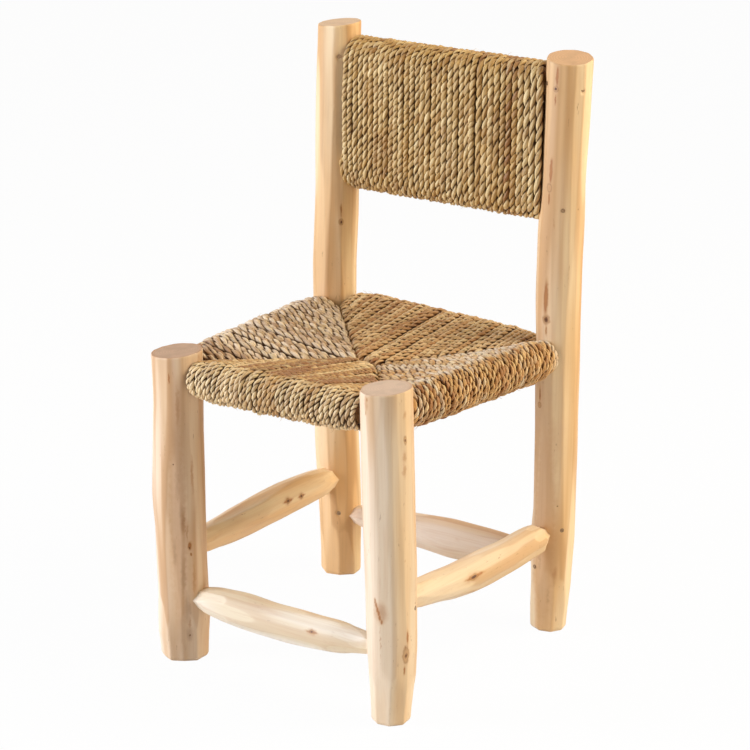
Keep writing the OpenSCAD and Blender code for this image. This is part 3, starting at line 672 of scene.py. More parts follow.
for name, (along, low_leg, high_leg, seed, tenon_r) in STRETCHERS.items():
    piece = whittled_stretcher(name, along, low_leg, high_leg, seed, tenon_r)
    knots = []
    for spot, long, wide in STRETCHER_KNOTS[name]:
        for kind, share, stretch in KNOT_MARKS:
            size = [wide * share * MM] * 3
            size[along] = long * stretch * MM
            knots.append((Vector(spot) * MM, tuple(size), kind))
    piece.data.materials.append(peeled_wood(name + "_wood", along, seed, knots, *STRETCHER_WOODS[name]))
    piece.data.materials.append(sawn_end(name + "_end", (0, 0, 0), along, seed))
    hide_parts(name)
    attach(piece, "root")

# The seat's four rails: round poles between the legs, tenoned into them, that the seat's cord is
# wound over. Only a little of their ends shows, beside the legs.
RAILS = {"seat_front_rail": 0, "seat_back_rail": 0, "seat_left_rail": 1, "seat_right_rail": 1}
for name, along in RAILS.items():
    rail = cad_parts[name]
    rail.data.materials.clear()
    # Their wood is painted dark brown, as painted shade: they only show in the seat's shaded gaps
    wood = peeled_wood(name + "_wood", along, 31, (), 0.3, (150, 108, 66), (126, 86, 50))
    rail.data.materials.append(wood)

# The nails: plain round wire nails that go through the joints from outside. Their heads are
# hammered in flush with the wood, and they have a little brown rust on them.
nail_steel, tree, shader, place = bare_material("nail_steel")
rust = noise(tree, place, 900, 3.0)
colour = tint(tree, spread(tree, rust, 0.4, 0.65), shade(172, 140, 104), shade(120, 88, 60))
tree.links.new(colour, shader.inputs["Base Color"])
tree.links.new(spread(tree, rust, 0.4, 0.7, 0.3, 0.6), shader.inputs["Roughness"])
shader.inputs["Metallic"].default_value = 0.6
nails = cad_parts["joint_nails"]
nails.data.materials.clear()
nails.data.materials.append(nail_steel)

# The seat's cord: two plies of twisted palm leaf, wound over the rails from corner to corner. Every
# strand comes up through a seam, crosses to its rail, goes round it and comes back underneath.
CORD_R = 3.0
PLY_SIDES = 8

# How far one strand is from the next, and for each field its rail, which way that runs, the legs at
# its ends and its seed
STRAND_PITCH = {"seat_weave_front": 5.7, "seat_weave_right": 5.8,
                "seat_weave_back": 5.9, "seat_weave_left": 6.5}
SEAT_FIELDS = {
    "seat_weave_front": ("seat_front_rail", 0, "front_left_leg", "front_right_leg", 41),
    "seat_weave_right": ("seat_right_rail", 1, "front_right_leg", "back_right_post", 42),
    "seat_weave_back": ("seat_back_rail", 0, "back_right_post", "back_left_post", 43),
    "seat_weave_left": ("seat_left_rail", 1, "back_left_post", "front_left_leg", 44),
}

# Gaps between a field's strands: share along the rail, and how far the strands part there in mm
SEAT_GAPS = {
    "seat_weave_front": [
        (0.2, 0.8), (0.36, 2.0), (0.47, 1.8), (0.6, 1.0), (0.72, 1.2),
    ],
    "seat_weave_right": [
        (0.22, 1.4), (0.36, 0.8), (0.5, 1.2), (0.63, 1.4), (0.8, 1.0),
    ],
    "seat_weave_back": [
        (0.14, 1.4), (0.3, 2.0), (0.41, 1.4), (0.52, 1.7), (0.65, 1.6), (0.78, 1.9), (0.9, 1.2),
    ],
    "seat_weave_left": [
        (0.22, 1.0), (0.38, 1.6), (0.58, 4.6), (0.64, 1.6), (0.71, 4.2), (0.8, 2.4), (0.88, 1.8),
    ],
}

# Browner and paler groups of strands: share along the rail, change of tone, spread of the group.
# The first pair of each field is painted light and shade: the change on its top and on its outer side.
SEAT_TONES = {
    "seat_weave_front": [(0.5, -0.38), (0.38, 0.24, 0.07)],
    "seat_weave_right": [(-0.2, 0.22), (0.7, 0.12, 0.1)],
    "seat_weave_back": [(-0.04, -0.05), (0.4, 0.15, 0.1), (0.1, -0.34, 0.14)],
    "seat_weave_left": [(-0.1, 0.0), (0.55, 0.12, 0.06), (0.15, -0.3, 0.16)],
}


def even_steps(points, step):
    """The same path in equal steps, and how far along it each point is."""
    gaps = np.linalg.norm(np.diff(points[:, :3], axis=0), axis=1)
    run = np.concatenate([[0], np.cumsum(gaps)])
    count = max(int(run[-1] / step), 4)
    here = np.linspace(0, run[-1], count + 1)
    return np.stack([np.interp(here, run, column) for column in points.T], axis=1), here


def drift(rng, here, every, amount, columns=1):
    """A value that wanders along a cord: new every so many mm, with that standard deviation."""
    knots = np.arange(0, here[-1] + 2 * every, every)
    values = rng.normal(0, amount, (len(knots), columns))
    return np.stack([np.interp(here, knots, values[:, k]) for k in range(columns)], axis=1).squeeze()


def cord_curve(name, sides):
    """An empty curve whose splines are round cords of their points' own radii."""
    curve = bpy.data.curves.new(name, "CURVE")
    curve.dimensions = "3D"
    curve.bevel_depth = 1.0
    curve.bevel_resolution = sides // 2 - 2
    curve.use_fill_caps = True
    return curve


def cord_mesh(curve):
    """The curve's cords as a mesh."""
    holder = bpy.data.objects.new(curve.name, curve)
    bpy.context.scene.collection.objects.link(holder)
    mesh = bpy.data.meshes.new_from_object(holder)
    bpy.data.objects.remove(holder)
    return mesh


def twisted_cord(name, runs, rng, step, turn_r, ply_r, ply_wide):
    """One mesh of two-ply cords along runs, each (points, direction of the winding's axis).

    A point is its place, its tone, the length of a full twist there and its share of the thickness."""
    curve = cord_curve(name, PLY_SIDES)
    plies = []
    for points, axis in runs:
        points, here = even_steps(np.asarray(points), step)
        tone, lay, full_share = points[:, 3], points[:, 4], points[:, 5]
        points = points[:, :3]
        ahead = np.gradient(points, axis=0)
        ahead /= np.linalg.norm(ahead, axis=1)[:, None]
        side = np.asarray(axis, float) - ahead * (ahead @ np.asarray(axis, float))[:, None]
        side /= np.linalg.norm(side, axis=1)[:, None]
        face = np.cross(side, ahead)
        outward = -face * np.sign((np.gradient(ahead, axis=0) * face).sum())
        pace = 1 + drift(rng, here, 26, 0.2)
        swing = rng.uniform(0, 2 * math.pi) - 2 * math.pi * np.cumsum(pace / lay) * here[1]
        points = points + side * drift(rng, here, 17, 0.24)[:, None]
        for ply in (0, 1):
            turn = swing + ply * math.pi + drift(rng, here, 20, 0.12)
            out = np.cos(turn)[:, None] * side + np.sin(turn)[:, None] * face
            spots = points + turn_r * full_share[:, None] * out
            thick = 1 + drift(rng, here, 11, 0.09) + drift(rng, here, 130, 0.05)
            thick = thick + 0.09 * (out * outward).sum(1)
            spline = curve.splines.new("POLY")
            spline.points.add(len(spots) - 1)
            spline.points.foreach_set("co", np.c_[spots * MM, np.ones(len(spots))].ravel())
            spline.points.foreach_set("radius", (ply_r * MM * thick * full_share).astype(np.float32))
            creases = drift(rng, here, 7, 0.12, PLY_SIDES)
            creases[[0, -1]] = 0
            own = tone + drift(rng, here, 60, 0.2)
            mark = np.full(len(spots), rng.uniform())
            plies.append(np.c_[spots, out, np.cross(ahead, out), outward, here, own, mark, creases])
    mesh = cord_mesh(curve)
    # The mesh has the cords' end caps first, from the last cord back, and then their rings
    told = [ply[[-1, 0]].repeat(PLY_SIDES, axis=0) for ply in plies[::-1]]
    told += [ply.repeat(PLY_SIDES, axis=0) for ply in plies]
    told = np.concatenate(told)
    corner = np.tile(np.arange(PLY_SIDES), len(told) // PLY_SIDES)
    centres, outs, overs, outwards = (told[:, at:at + 3] for at in (0, 3, 6, 9))
    run, own, mark, creases = told[:, 12], told[:, 13], told[:, 14], told[:, 15:]
    skin = np.empty(len(mesh.vertices) * 3)
    mesh.vertices.foreach_get("co", skin)
    off = skin.reshape(-1, 3) / MM - centres
    off = off * (1 + creases[np.arange(len(told)), corner])[:, None]
    off = off + (ply_wide - 1) * (off * overs).sum(1)[:, None] * overs
    mesh.vertices.foreach_set("co", ((centres + off) * MM).ravel())
    # How deep each point lies and how far on the winding's inner side, for the painted shade
    from_axis = off + turn_r * outs
    full = turn_r + ply_r
    depth = 1 - np.linalg.norm(from_axis, axis=1) / full
    sunk = 0.5 - 0.5 * (from_axis * outwards).sum(1) / full
    for label, values in (("tone", own), ("ply", mark), ("groove", depth), ("sunk", sunk)):
        layer = mesh.attributes.new(label, "FLOAT", "POINT")
        layer.data.foreach_set("value", values.astype(np.float32))
    # The leaf's own coordinates: along the ply, each ply far from the next, and round it
    way = corner * 2 * math.pi / PLY_SIDES
    leaf = np.c_[run + 900 * mark, 1.7 * np.cos(way), 1.7 * np.sin(way)] * MM
    layer = mesh.attributes.new("leaf", "FLOAT_VECTOR", "POINT")
    layer.data.foreach_set("vector", leaf.astype(np.float32).ravel())
    bm = bmesh.new()
    bm.from_mesh(mesh)
    bmesh.ops.remove_doubles(bm, verts=bm.verts, dist=1e-6)
    for face in bm.faces:
        face.smooth = True
    bm.to_mesh(mesh)
    bm.free()
    return new_piece(name, mesh)


def stray_fibres(name, piece, seed, count):
    """Fine ends of leaf that have worked loose from a cord, tapered, each from under its skin."""
    rng = np.random.default_rng(seed)
    under, lift = 0.9, 1.9
    spots = np.empty(len(piece.data.vertices) * 3)
    piece.data.vertices.foreach_get("co", spots)
    facing = np.empty(len(piece.data.vertices) * 3)
    piece.data.vertices.foreach_get("normal", facing)
    sunk = np.empty(len(piece.data.vertices))
    piece.data.attributes["sunk"].data.foreach_get("value", sunk)
    spots = spots.reshape(-1, 3) / MM
    facing = facing.reshape(-1, 3)
    outer = np.nonzero(sunk < 0.12)[0]
    curve = cord_curve(name, 4)
    for vertex in rng.choice(outer, count, replace=False):
        out = facing[vertex]
        side = np.cross(out, rng.normal(0, 1, 3))
        side /= np.linalg.norm(side)
        long = rng.uniform(3, 8)
        high = rng.uniform(0.3, 1.0) * lift
        bend = np.cross(out, side) * rng.normal(0, 0.25)
        spline = curve.splines.new("POLY")
        spline.points.add(4)
        for point, share in zip(spline.points, (0, 0.2, 0.5, 0.8, 1)):
            rise = -under + (high + under) * math.sin(share * 2.0) / math.sin(2.0)
            spot = spots[vertex] + side * long * share + bend * long * share * share + out * rise
            point.co = (*(spot * MM), 1)
            point.radius = (0.24 - 0.19 * share) * MM
    return new_piece(name, cord_mesh(curve))


def palm_cord(name, seed, straw, gold, brown, fibre_dark_and_shade):
    """Twisted palm leaf: fibres run along each ply, straw to gold with browner lengths, painted shade in
    the grooves.
    """
    material, tree, shader, place = bare_material(name)
    tone = add(tree, "Attribute", attribute_name="tone").outputs["Fac"]
    ply = add(tree, "Attribute", attribute_name="ply").outputs["Fac"]
    groove = add(tree, "Attribute", attribute_name="groove").outputs["Fac"]
    sunk = add(tree, "Attribute", attribute_name="sunk").outputs["Fac"]
    leaf = add(tree, "Attribute", attribute_name="leaf").outputs["Vector"]
    drawn = add(tree, "Mapping", {"Vector": leaf, "Location": (seed, 0, 0),
                                  "Scale": (0.12, 1, 1)}).outputs[0]
    fibre = noise(tree, drawn, 1300, 2.0, 0.6)
    blade = noise(tree, drawn, 420, 2.0, 0.5)
    patch = noise(tree, place, 34, 2.0)

    colour = tint(tree, spread(tree, tone, 0.2, 0.8), shade(*straw), shade(*gold))
    colour = tint(tree, spread(tree, tone, 0.72, 1.15), colour, shade(*brown))
    colour = tint(tree, spread(tree, ply, 0.6, 1.0, 0.0, 0.35), colour, shade(198, 182, 134))
    colour = tint(tree, spread(tree, patch, 0.5, 0.75, 0.0, 0.4), colour, shade(*brown))
    colour = tint(tree, spread(tree, blade, 0.45, 0.68, 0.0, 0.55), colour, shade(*brown))
    colour = tint(tree, spread(tree, blade, 0.45, 0.3, 0.0, 0.5), colour, shade(246, 222, 172))
    colour = tint(tree, spread(tree, fibre, 0.56, 0.78, 0.0, 0.5), colour, shade(246, 224, 178))
    colour = tint(tree, spread(tree, fibre, 0.45, 0.25, 0.0, 0.55), colour, shade(*fibre_dark_and_shade))
    # Painted shade with a little dust: darker on the cord's inner side round the rail and in its grooves
    colour = tint(tree, spread(tree, sunk, 0.27, 0.62, 0.0, 0.9), colour, shade(*fibre_dark_and_shade))
    colour = tint(tree, spread(tree, groove, 0.15, 0.46, 0.0, 0.84), colour, shade(*fibre_dark_and_shade))
    tree.links.new(colour, shader.inputs["Base Color"])
    shader.inputs["Roughness"].default_value = 0.5
    shader.inputs["Specular IOR Level"].default_value = 0.4
    height = work(tree, "ADD", work(tree, "MULTIPLY", fibre, 0.6), blade)
    raised = add(tree, "Bump", {"Height": height, "Strength": 0.8, "Distance": 0.0008})
    tree.links.new(raised.outputs[0], shader.inputs["Normal"])
    return material


def pole_line(node, along):
    """The two ends of a CAD pole's centre line, in mm."""
    points = np.array([vertex.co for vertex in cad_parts[node].data.vertices]) / MM
    low = points[points[:, along] < points[:, along].min() + 1]
    high = points[points[:, along] > points[:, along].max() - 1]
    return (low.min(0) + low.max(0)) / 2, (high.min(0) + high.max(0)) / 2


# The two ends of the seat's short middle seam, and its top and its underside, from the CAD's fields
left_points = np.array([vertex.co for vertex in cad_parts["seat_weave_left"].data.vertices]) / MM
right_points = np.array([vertex.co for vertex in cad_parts["seat_weave_right"].data.vertices]) / MM
left_middle = left_points[left_points[:, 0].argmax()]
right_middle = right_points[right_points[:, 0].argmin()]
seam_high = left_points[left_points[:, 0] > left_middle[0] - 3][:, 2].max()
seam_low = left_points[left_points[:, 0] > left_middle[0] - 3][:, 2].min()

# Where the seam that ends a field bends, on its way from its first leg to its second
SEAM_BENDS = {
    "seat_weave_front": (left_middle, right_middle),
    "seat_weave_right": (right_middle, right_middle),
    "seat_weave_back": (right_middle, left_middle),
    "seat_weave_left": (left_middle, left_middle),
}

# How far the seams climb to the corners, how far from a seam a strand stops and how round it bends
# there, and the seat's rails under the cord: thick between the legs, thin where they taper to them
SEAM_CLIMB = 11.0
SHORT_OF_SEAM = 3.3
BEND = 4.0
RAIL_THICK = 15.0
RAIL_THIN = 11.0
TAPER = 26.0


def strand_section(rail_r, reach, top, bottom):
    """A strand's path across its rail, as (towards the middle, up) from the rail's centre."""
    round_r = rail_r + CORD_R + 0.35
    stop = reach - SHORT_OF_SEAM
    path = []
    turns = []
    # Each end goes straight to the rail's round, or near a corner, where that is too close, into it
    for level, sign in ((top, 1), (bottom, -1)):
        point = np.array((max(stop - BEND, 1.0), level))
        far = np.hypot(*point)
        if far > round_r * 1.02:
            way = math.atan2(point[1], point[0]) + sign * math.acos(round_r / far)
            arc = [(stop, level - sign * (BEND + 9 - 2 * (sign < 0))), (stop, level - sign * BEND)]
            arc += [(stop - BEND + BEND * math.sin(k), level - sign * BEND + sign * BEND * math.cos(k))
                    for k in np.radians((67, 45, 22, 0))]
        else:
            way = sign * math.acos(min(max(stop, 0.5) / round_r, 0.999))
            end = (round_r * math.cos(way), round_r * math.sin(way))
            arc = [(end[0], end[1] - sign * 10), (end[0], end[1] - sign * 3)]
        turns.append(way)
        path.append(arc)
    turn_down = np.arange(turns[0], 2 * math.pi + turns[1], math.radians(6))
    over = [(round_r * math.cos(k), round_r * math.sin(k)) for k in turn_down]
    over.append((round_r * math.cos(turns[1]), round_r * math.sin(turns[1])))
    return np.array(path[0] + over + path[1][::-1])


def seat_field(name, rail, along, leg_a, leg_b, seed):
    """The runs of one field's strands, each with its winding's axis, its inner crossings and its rng."""
    rng = np.random.default_rng(seed)
    low, high = pole_line(rail, along)
    if leg_b in ("back_left_post", "front_left_leg"):
        low, high = high, low
    way3 = (high - low) / np.linalg.norm(high - low)
    way = np.array((way3[0], way3[1], 0)) / np.hypot(way3[0], way3[1])
    inward = np.array((-way[1], way[0], 0))
    corners = []
    for leg in (leg_a, leg_b):
        u, v, r = (float(part) for part in line_at(legs[leg][1], low[2]))
        corners.append((np.array((u, v, 0)), r * BRANCH_SHARE[leg] - 0.4))
    start = low + way3 * ((corners[0][0] - low) @ way)
    length = (corners[1][0] - corners[0][0]) @ way
    # The strands lie side by side from s0 to s1 along the rail
    s0 = corners[0][1] + 0.3
    s1 = length - corners[1][1] - 0.3
    count = round((s1 - s0) / STRAND_PITCH[name])
    pitch = (s1 - s0) / count
    seam = [(0.0, 0.0)]
    for middle in SEAM_BENDS[name]:
        seam.append(((middle - start) @ way, (middle - start) @ inward))
    seam.append((length, 0.0))
    seam = np.array(seam)
    runs = []
    places = s0 + (np.arange(count) + 0.5) * pitch
    parted = np.cumsum(rng.normal(0, 0.35, count))
    parted = np.clip(parted - np.linspace(parted[0], parted[-1], count), -1.2, 1.2)
    for share, gap in SEAT_GAPS[name]:
        from_gap = places - s0 - share * (s1 - s0)
        parted += 0.5 * gap * np.sign(from_gap) * np.exp(-np.abs(from_gap) / (3 * pitch))
    parted *= np.clip(np.minimum(np.arange(count), count - 1 - np.arange(count)) / 3, 0, 1)
    tones = 0.45 + drift(rng, places, 25, 0.17) + rng.normal(0, 0.22, count)
    painted_top_light, painted_side_light = SEAT_TONES[name][0]
    for share, change, wide in SEAT_TONES[name][1:]:
        tones += change * np.exp(-((places - s0 - share * (s1 - s0)) / (wide * (s1 - s0))) ** 2)
    depth = seam[1:-1, 1].max()
    for k in range(count):
        s = places[k] + parted[k]
        reach = np.interp(s, seam[:, 0], seam[:, 1])
        level = start[2] + way3[2] * s
        rail_r = np.interp(s, [s0, s0 + TAPER, s1 - TAPER, s1],
                           [RAIL_THIN, RAIL_THICK, RAIL_THICK, RAIL_THIN]) + rng.normal(0, 0.4)
        climb = SEAM_CLIMB * (1 - reach / depth) ** 1.4
        top = seam_high + climb - CORD_R - level + rng.normal(0, 0.4)
        section = strand_section(rail_r, reach, top, seam_low + CORD_R - level)
        on_top = np.clip(section[:, 0] / 8 + 0.6, 0, 1) * (section[:, 1] > 0)
        run = np.linspace(0, 1, len(section))
        sway = 0.55 * np.sin(2 * math.pi * (run * rng.uniform(0.7, 1.6) + rng.uniform()))
        sway = sway + 0.25 * np.sin(2 * math.pi * (run * rng.uniform(2.5, 4) + rng.uniform()))
        # A gap between strands is open on top, and closes again under the rail
        past_side = np.arange(len(section)) - section[:, 0].argmin()
        apart = parted[k] * (np.clip(1 - (past_side + 5) / 10, -0.6, 1) - 1)
        points = start + way * (s + sway + apart)[:, None] + inward * section[:, :1]
        points[:, 2] = level + section[:, 1] + 0.3 * np.sin(2 * math.pi * (run * 2 + rng.uniform()))
        own_lay = np.full(len(points), SEAT_CORDS[name][1] * (1 + rng.normal(0, 0.05)))
        # Painted light and shade: the strand's top and its outer side get their own change of tone
        tone = tones[k] + painted_top_light * on_top + painted_side_light * (1 - on_top)
        runs.append((np.c_[points, tone, own_lay, np.ones(len(points))], way))
    # Inside the seat the cord crosses from one side's seam to the other's, between top and underside
    crossings = []
    for off in np.arange(12, depth - 2, CROSSING_PITCH):
        near = np.interp(off, seam[:2, 1], seam[:2, 0])
        far = np.interp(off, seam[:-3:-1, 1], seam[:-3:-1, 0])
        run = np.linspace(near - 2, far + 2, max(int((far - near) / 7), 3))
        reach = np.maximum(np.interp(run, seam[:, 0], seam[:, 1]), off)
        level = start[2] + way3[2] * run
        level = level + ((seam_high + seam_low) / 2 - level) * off / reach
        points = start + way * run[:, None] + inward * off
        points[:, 2] = level + rng.normal(0, 0.5, len(run))
        crossings.append(points)
    return runs, crossings, rng


# Each field's slot; the length of its cord's full twist; the step it is made in, its plies' distance
# from its middle, their radius and how much wider than thick they are; and its colours, which are
# straw, gold, brown and a dark for its dark fibres and the painted shade of its grooves
SEAT_CORDS = {
    "seat_weave_front": ("gold_cord", 13.6, (1.8, 1.4, 1.46, 1.22),
                         ((244, 216, 170), (210, 167, 108), (156, 108, 66), (84, 50, 22))),
    "seat_weave_right": ("pale_cord", 16.5, (1.8, 1.42, 1.46, 1.2),
                         ((234, 217, 192), (222, 176, 114), (166, 112, 62), (112, 68, 28))),
    "seat_weave_back": ("gold_cord", 15.6, (1.8, 1.45, 1.5, 1.25),
                        ((238, 206, 158), (212, 166, 110), (166, 112, 66), (104, 64, 30))),
    "seat_weave_left": ("pale_cord", 21.5, (1.8, 1.6, 1.68, 1.25),
                        ((248, 226, 196), (222, 188, 150), (172, 132, 96), (112, 78, 50))),
}

# The crossings inside the seat: how far one is from the next, and their radius
CROSSING_PITCH = 6.0
CROSSING_R = 3.1


def loose_leaf(name, pale, brown):
    """Palm leaf that isn't twisted, streaked from pale to brown."""
    material, tree, shader, place = bare_material(name)
    streak = noise(tree, place, 160, 2.0)
    colour = tint(tree, spread(tree, streak, 0.35, 0.65), shade(*pale), shade(*brown))
    tree.links.new(colour, shader.inputs["Base Color"])
    shader.inputs["Roughness"].default_value = 0.5
    return material


fibre_leaf = loose_leaf("loose_leaf", (236, 212, 168), (190, 146, 92))
crossings = []
for name, (rail, along, leg_a, leg_b, seed) in SEAT_FIELDS.items():
    runs, own_crossings, rng = seat_field(name, rail, along, leg_a, leg_b, seed)
    crossings += own_crossings
    slot_name, lay, twist, colours = SEAT_CORDS[name]
    piece = twisted_cord(name + "_cord", runs, rng, *twist)
    piece.data.materials.append(palm_cord(name + "_palm", seed, *colours))
    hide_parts(name)
    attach(piece, "root")
    fibres = stray_fibres(name + "_fibres", piece, seed + 200, 130)
    fibres.data.materials.append(fibre_leaf)
    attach(fibres, "root")

# The seat's inside: the same palm cord, slack and untwisted, crosses from seam to seam between the
# seat's top and underside. It is held by the strands over it, and only shows in the gaps of them.
curve = cord_curve("seat_crossings", PLY_SIDES)
for points in crossings:
    spline = curve.splines.new("POLY")
    spline.points.add(len(points) - 1)
    for point, spot in zip(spline.points, points * MM):
        point.co = (*spot, 1)
        point.radius = CROSSING_R * MM
inside = new_piece("seat_crossings", cord_mesh(curve))
# Its leaf is painted dark brown, as the painted shade of the seat's inside
inside.data.materials.append(loose_leaf("shaded_leaf", (150, 116, 76), (104, 72, 42)))
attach(inside, "root")

# The back: two round rails between the posts, and one length of the same cord wound tight round
# both of them, from the left post to the right one.
BACK_POLE_R = 13.4
BACK_TENON = 31

# Its turns and how much wider they get to the right; the radius that the cord's middle has round a
# rail, and how many steps there are in a quarter turn; its twist, as the seat's; and how long a full
# twist is at shares of its way
BACK_TURNS = 36
WIDENING = 0.085
WRAP_R = 16.9
QUARTER = 7
BACK_TWIST = (2.12, 1.5, 1.72, 1.28)
BACK_LAYS = [(0, 15.0), (0.45, 16.5), (0.7, 18.5), (1, 21.5)]

# Gaps between the back's turns (turn, mm), the turns whose cord is browner or paler than the rest,
# and where the cord's last length is tucked in, as a share of the way
BACK_GAPS = [(22, 0.7), (24.4, 1.5), (26.7, 0.6), (28.6, 0.5), (32.5, 0.3), (17, 0.5), (12, 0.6), (5, 0.5)]
BACK_TONES = [(3, 0.04), (7.5, 0.16), (17, 0.12), (20.5, -0.16), (25.5, 0.06), (30, 0.4), (34.5, -0.42)]
TAIL_SHARE = 0.655


def back_pole(name, seed):
    """A back rail with its two tenons."""
    low, high = pole_line(name, 0)
    length = high[0] - low[0]
    last = length - BACK_TENON
    stations = np.array([0, 1, BACK_TENON - 0.5, BACK_TENON, *np.linspace(BACK_TENON + 1, last - 1, 30),
                         last, last + 0.5, length - 1, length])
    sizes = np.full(len(stations), BACK_POLE_R)
    sizes[[0, -1]] = 8.2
    sizes[[1, 2, -2, -3]] = 9.0

    def place(row, turn):
        x, y, z = (low + (high - low) * (stations[row] / length)[:, None]).T
        return x, y + sizes[row] * np.cos(turn), z + sizes[row] * np.sin(turn), np.ones(len(row))

    return turned_mesh(name + "_pole", 0, 32, len(stations), place)


for name, seed in (("back_top_rail", 51), ("back_bottom_rail", 52)):
    piece = back_pole(name, seed)
    wood = peeled_wood(name + "_wood", 0, seed, (), 0.3, (196, 156, 108), (170, 126, 80))
    piece.data.materials.append(wood)
    piece.data.materials.append(sawn_end(name + "_end", (0, 0, 0), 0, seed))
    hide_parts(name)
    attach(piece, "root")

rng = np.random.default_rng(61)
bottom_line = pole_line("back_bottom_rail", 0)
top_line = pole_line("back_top_rail", 0)
steps = []


def beside_posts(pole, share, off):
    """The point of a back rail that far between the posts, for a cord that lies off behind or before it."""
    limits = []
    for leg, side in (("back_left_post", 1), ("back_right_post", -1)):
        u, v, r = (float(part) for part in line_at(legs[leg][1], (pole[0][2] + pole[1][2]) / 2))
        limits.append(u + side * math.sqrt((r * BRANCH_SHARE[leg] + CORD_R - 0.2) ** 2 - off * off))
    x = limits[0] + share * (limits[1] - limits[0])
    return pole[0] + (pole[1] - pole[0]) * (x - pole[0][0]) / (pole[1][0] - pole[0][0])


# The cord starts inside, comes out beside the left post and goes under the lower rail to the rear
for off, rise in ((0.4, 19), (0.72, 13), (0.94, 7)):
    low = beside_posts(bottom_line, 0, WRAP_R)
    steps.append((low[0] - 1.0, low[1] - WRAP_R * off, low[2] + rise, 0.6, BACK_LAYS[0][1], 1.0))
for k in range(QUARTER):
    bend = math.pi * k / QUARTER
    low = beside_posts(bottom_line, 0, WRAP_R * math.cos(bend))
    steps.append((low[0], low[1] - WRAP_R * math.cos(bend), low[2] - 1.2 * WRAP_R * math.sin(bend), 0.6,
                  BACK_LAYS[0][1], 1.0))

# Each turn goes up the rear, over the top rail, down the front and under the lower rail. It leans,
# bows and stands proud a little, and the first turns bow more, beside the post.
for turn in range(BACK_TURNS):
    lean = rng.normal(0, 0.3)
    bow = rng.normal(0, 0.45)
    proud = rng.normal(0, 0.25)
    over_post = max(1 - turn / 3, 0)
    for k in range(4 * QUARTER):
        quarter = k // QUARTER
        part = (k % QUARTER) / QUARTER
        share = (turn + k / (4 * QUARTER)) / BACK_TURNS
        share = share + WIDENING * (share * share - share)
        lay = np.interp(share, *zip(*BACK_LAYS))
        full_share = np.interp(share, (0, 0.5, 1), (0.99, 1.03, 1.13))
        bend = math.pi * (k % QUARTER) / QUARTER
        off = WRAP_R if quarter in (0, 2) else WRAP_R * math.cos(bend)
        low = beside_posts(bottom_line, share, off)
        high = beside_posts(top_line, share, off)
        if quarter == 0:
            full_share = full_share * 1.14
            rise = part
            spot = low + (high - low) * rise + np.array((0, WRAP_R, 0))
            sway = bow * math.sin(math.pi * rise)
        elif quarter == 1:
            spot = high + WRAP_R * np.array((0, math.cos(bend), 1.03 * math.sin(bend)))
            sway = lean * math.sin(bend)
        elif quarter == 2:
            rise = 1 - part
            spot = low + (high - low) * rise
            spot = spot - np.array((0, WRAP_R + (proud + 1.2 * over_post) * math.sin(math.pi * rise), 0))
            sway = (bow - 0.5 * over_post) * math.sin(math.pi * rise)
        else:
            spot = low - WRAP_R * np.array((0, math.cos(bend), 1.23 * math.sin(bend)))
            sway = -lean * math.sin(bend)
        # Painted shade: the cord is browner where it goes over the top rail
        tone = 0.44 + 0.34 * (quarter == 1) * math.sin(bend)
        for spot_turn, change in BACK_TONES:
            tone += change * math.exp(-((turn + k / (4 * QUARTER) - 0.6 - spot_turn) / 1.6) ** 2)
        for gap_turn, gap in BACK_GAPS:
            from_gap = turn - gap_turn
            open_there = (0, 0.5, 1, 0.5)[quarter] * gap / 2
            sway += open_there * math.copysign(math.exp(-abs(from_gap) / 2.5), from_gap)
        steps.append((spot[0] + sway, spot[1], spot[2], tone, lay, full_share))

# Its end goes once more up the rear, beside the right post, and in between the runs
for off, rise in ((1, 0), (1, 0.2), (1, 0.4), (1, 0.6), (0.98, 0.78), (0.7, 0.86), (0.3, 0.9)):
    low = beside_posts(bottom_line, 1, WRAP_R)
    high = beside_posts(top_line, 1, WRAP_R)
    spot = low + (high - low) * rise
    steps.append((spot[0], spot[1] + WRAP_R * off, spot[2], 0.5, BACK_LAYS[-1][1], 1.12))

# The cord's last length is tucked away upright inside the panel, just behind the front turns
tail = []
for rise in np.linspace(0.04, 0.96, 12):
    low = beside_posts(bottom_line, TAIL_SHARE, WRAP_R)
    high = beside_posts(top_line, TAIL_SHARE, WRAP_R)
    spot = low + (high - low) * rise - np.array((0, WRAP_R - 6.4, 0))
    tail.append((*spot, 0.8, 18, 1.0))
runs = [(np.array(steps), (1, 0, 0)), (np.array(tail), (1, 0, 0))]
back_cord = twisted_cord("back_rope_cord", runs, rng, *BACK_TWIST)
back_palm = palm_cord("back_rope_palm", 61, (231, 202, 147), (204, 164, 98), (156, 108, 60), (92, 56, 20))
back_cord.data.materials.append(back_palm)
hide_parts("back_rope")
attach(back_cord, "root")
fibres = stray_fibres("back_rope_fibres", back_cord, 261, 200)
fibres.data.materials.append(fibre_leaf)
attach(fibres, "root")

# The studio: a plain white floor, large soft lamps at both sides, and the photograph's camera.
# The floor and the world are white where the camera sees them, and plain and soft on the chair.
bm = bmesh.new()
bmesh.ops.create_grid(bm, x_segments=1, y_segments=1, size=6)
floor_mesh = bpy.data.meshes.new("floor")
bm.to_mesh(floor_mesh)
bm.free()
floor = new_piece("floor", floor_mesh)


def white_where_seen(tree):
    """How far a ray is one that the camera sees, straight or in a reflection."""
    path = add(tree, "LightPath")
    seen = work(tree, "MAXIMUM", path.outputs["Is Camera Ray"], path.outputs["Is Glossy Ray"])
    return work(tree, "MAXIMUM", seen, path.outputs["Is Transmission Ray"])


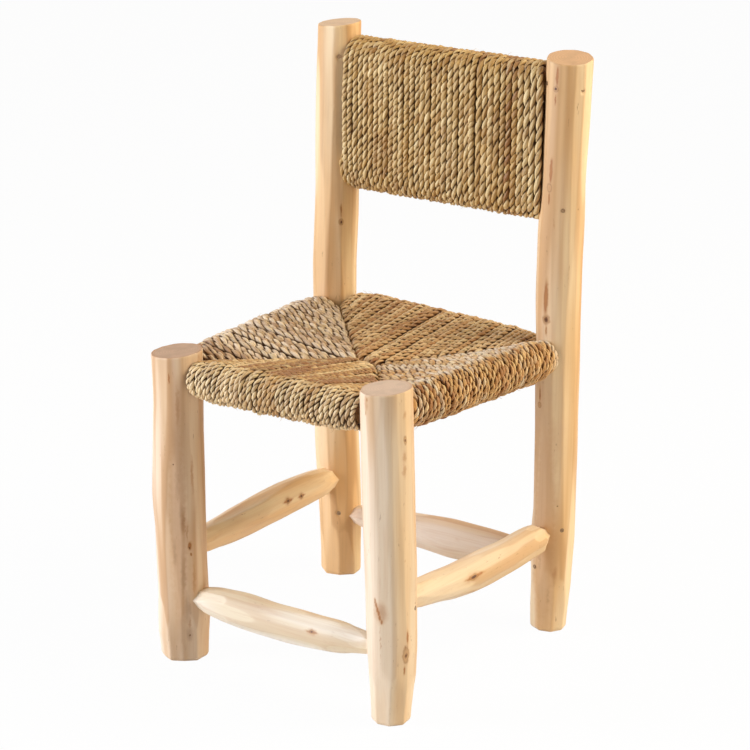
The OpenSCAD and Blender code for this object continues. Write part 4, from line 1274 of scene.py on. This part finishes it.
floor_white, tree, shader, place = bare_material("floor_white")
shader.inputs["Base Color"].default_value = (0.8, 0.8, 0.8, 1)
shader.inputs["Roughness"].default_value = 0.9
glow = add(tree, "Emission", {"Color": (1, 1, 1, 1), "Strength": 1.0})
seen = work(tree, "MULTIPLY", white_where_seen(tree), 0.97)
blend = add(tree, "MixShader", {0: seen, 1: shader.outputs[0], 2: glow.outputs[0]})
tree.links.new(blend.outputs[0], tree.nodes["Material Output"].inputs["Surface"])
floor.data.materials.append(floor_white)

world = bpy.data.worlds.new("studio")
bpy.context.scene.world = world
world.use_nodes = True
tree = world.node_tree
dim = tree.nodes["Background"]
dim.inputs["Color"].default_value = (1.0, 0.72, 0.42, 1)
dim.inputs["Strength"].default_value = 0.13
bright = add(tree, "Background", {"Color": (1, 1, 1, 1), "Strength": 1.0})
blend = add(tree, "MixShader", {0: white_where_seen(tree), 1: dim.outputs[0], 2: bright.outputs[0]})
tree.links.new(blend.outputs[0], tree.nodes["World Output"].inputs["Surface"])


def soft_lamp(name, turn, lift, power, colour):
    """A soft box 2.6 m off, turned and lifted in degrees, facing the chair."""
    lamp = bpy.data.lights.new(name, "AREA")
    lamp.shape = "RECTANGLE"
    lamp.size = 1.3
    lamp.size_y = 1.6
    lamp.energy = power
    lamp.color = colour
    holder = bpy.data.objects.new(name, lamp)
    far = 2.6
    turn, lift = math.radians(turn), math.radians(lift)
    across = far * math.cos(lift)
    aim = Vector((0, 0, 0.3))
    away = Vector((across * math.cos(turn), across * math.sin(turn), far * math.sin(lift)))
    holder.location = aim + away
    holder.rotation_euler = (aim - holder.location).to_track_quat("-Z", "Y").to_euler()
    bpy.context.scene.collection.objects.link(holder)


soft_lamp("left_box", -135, 15, 80, (0.83, 0.89, 1.0))
soft_lamp("right_box", 20, 43, 55, (1.0, 0.93, 0.76))
soft_lamp("right_low", 45, 15, 26, (1.0, 0.78, 0.46))

lens = bpy.data.cameras.new("camera")
lens.lens = 122.4
lens.sensor_width = 36
camera = bpy.data.objects.new("camera", lens)
camera.location = (1.4082, -1.9617, 1.0549)
turn, lift = math.radians(35.47), math.radians(17.69)
camera.rotation_euler = (math.pi / 2 - lift, 0, turn)
bpy.context.scene.collection.objects.link(camera)
bpy.context.scene.camera = camera
bpy.context.scene.view_settings.view_transform = "Standard"
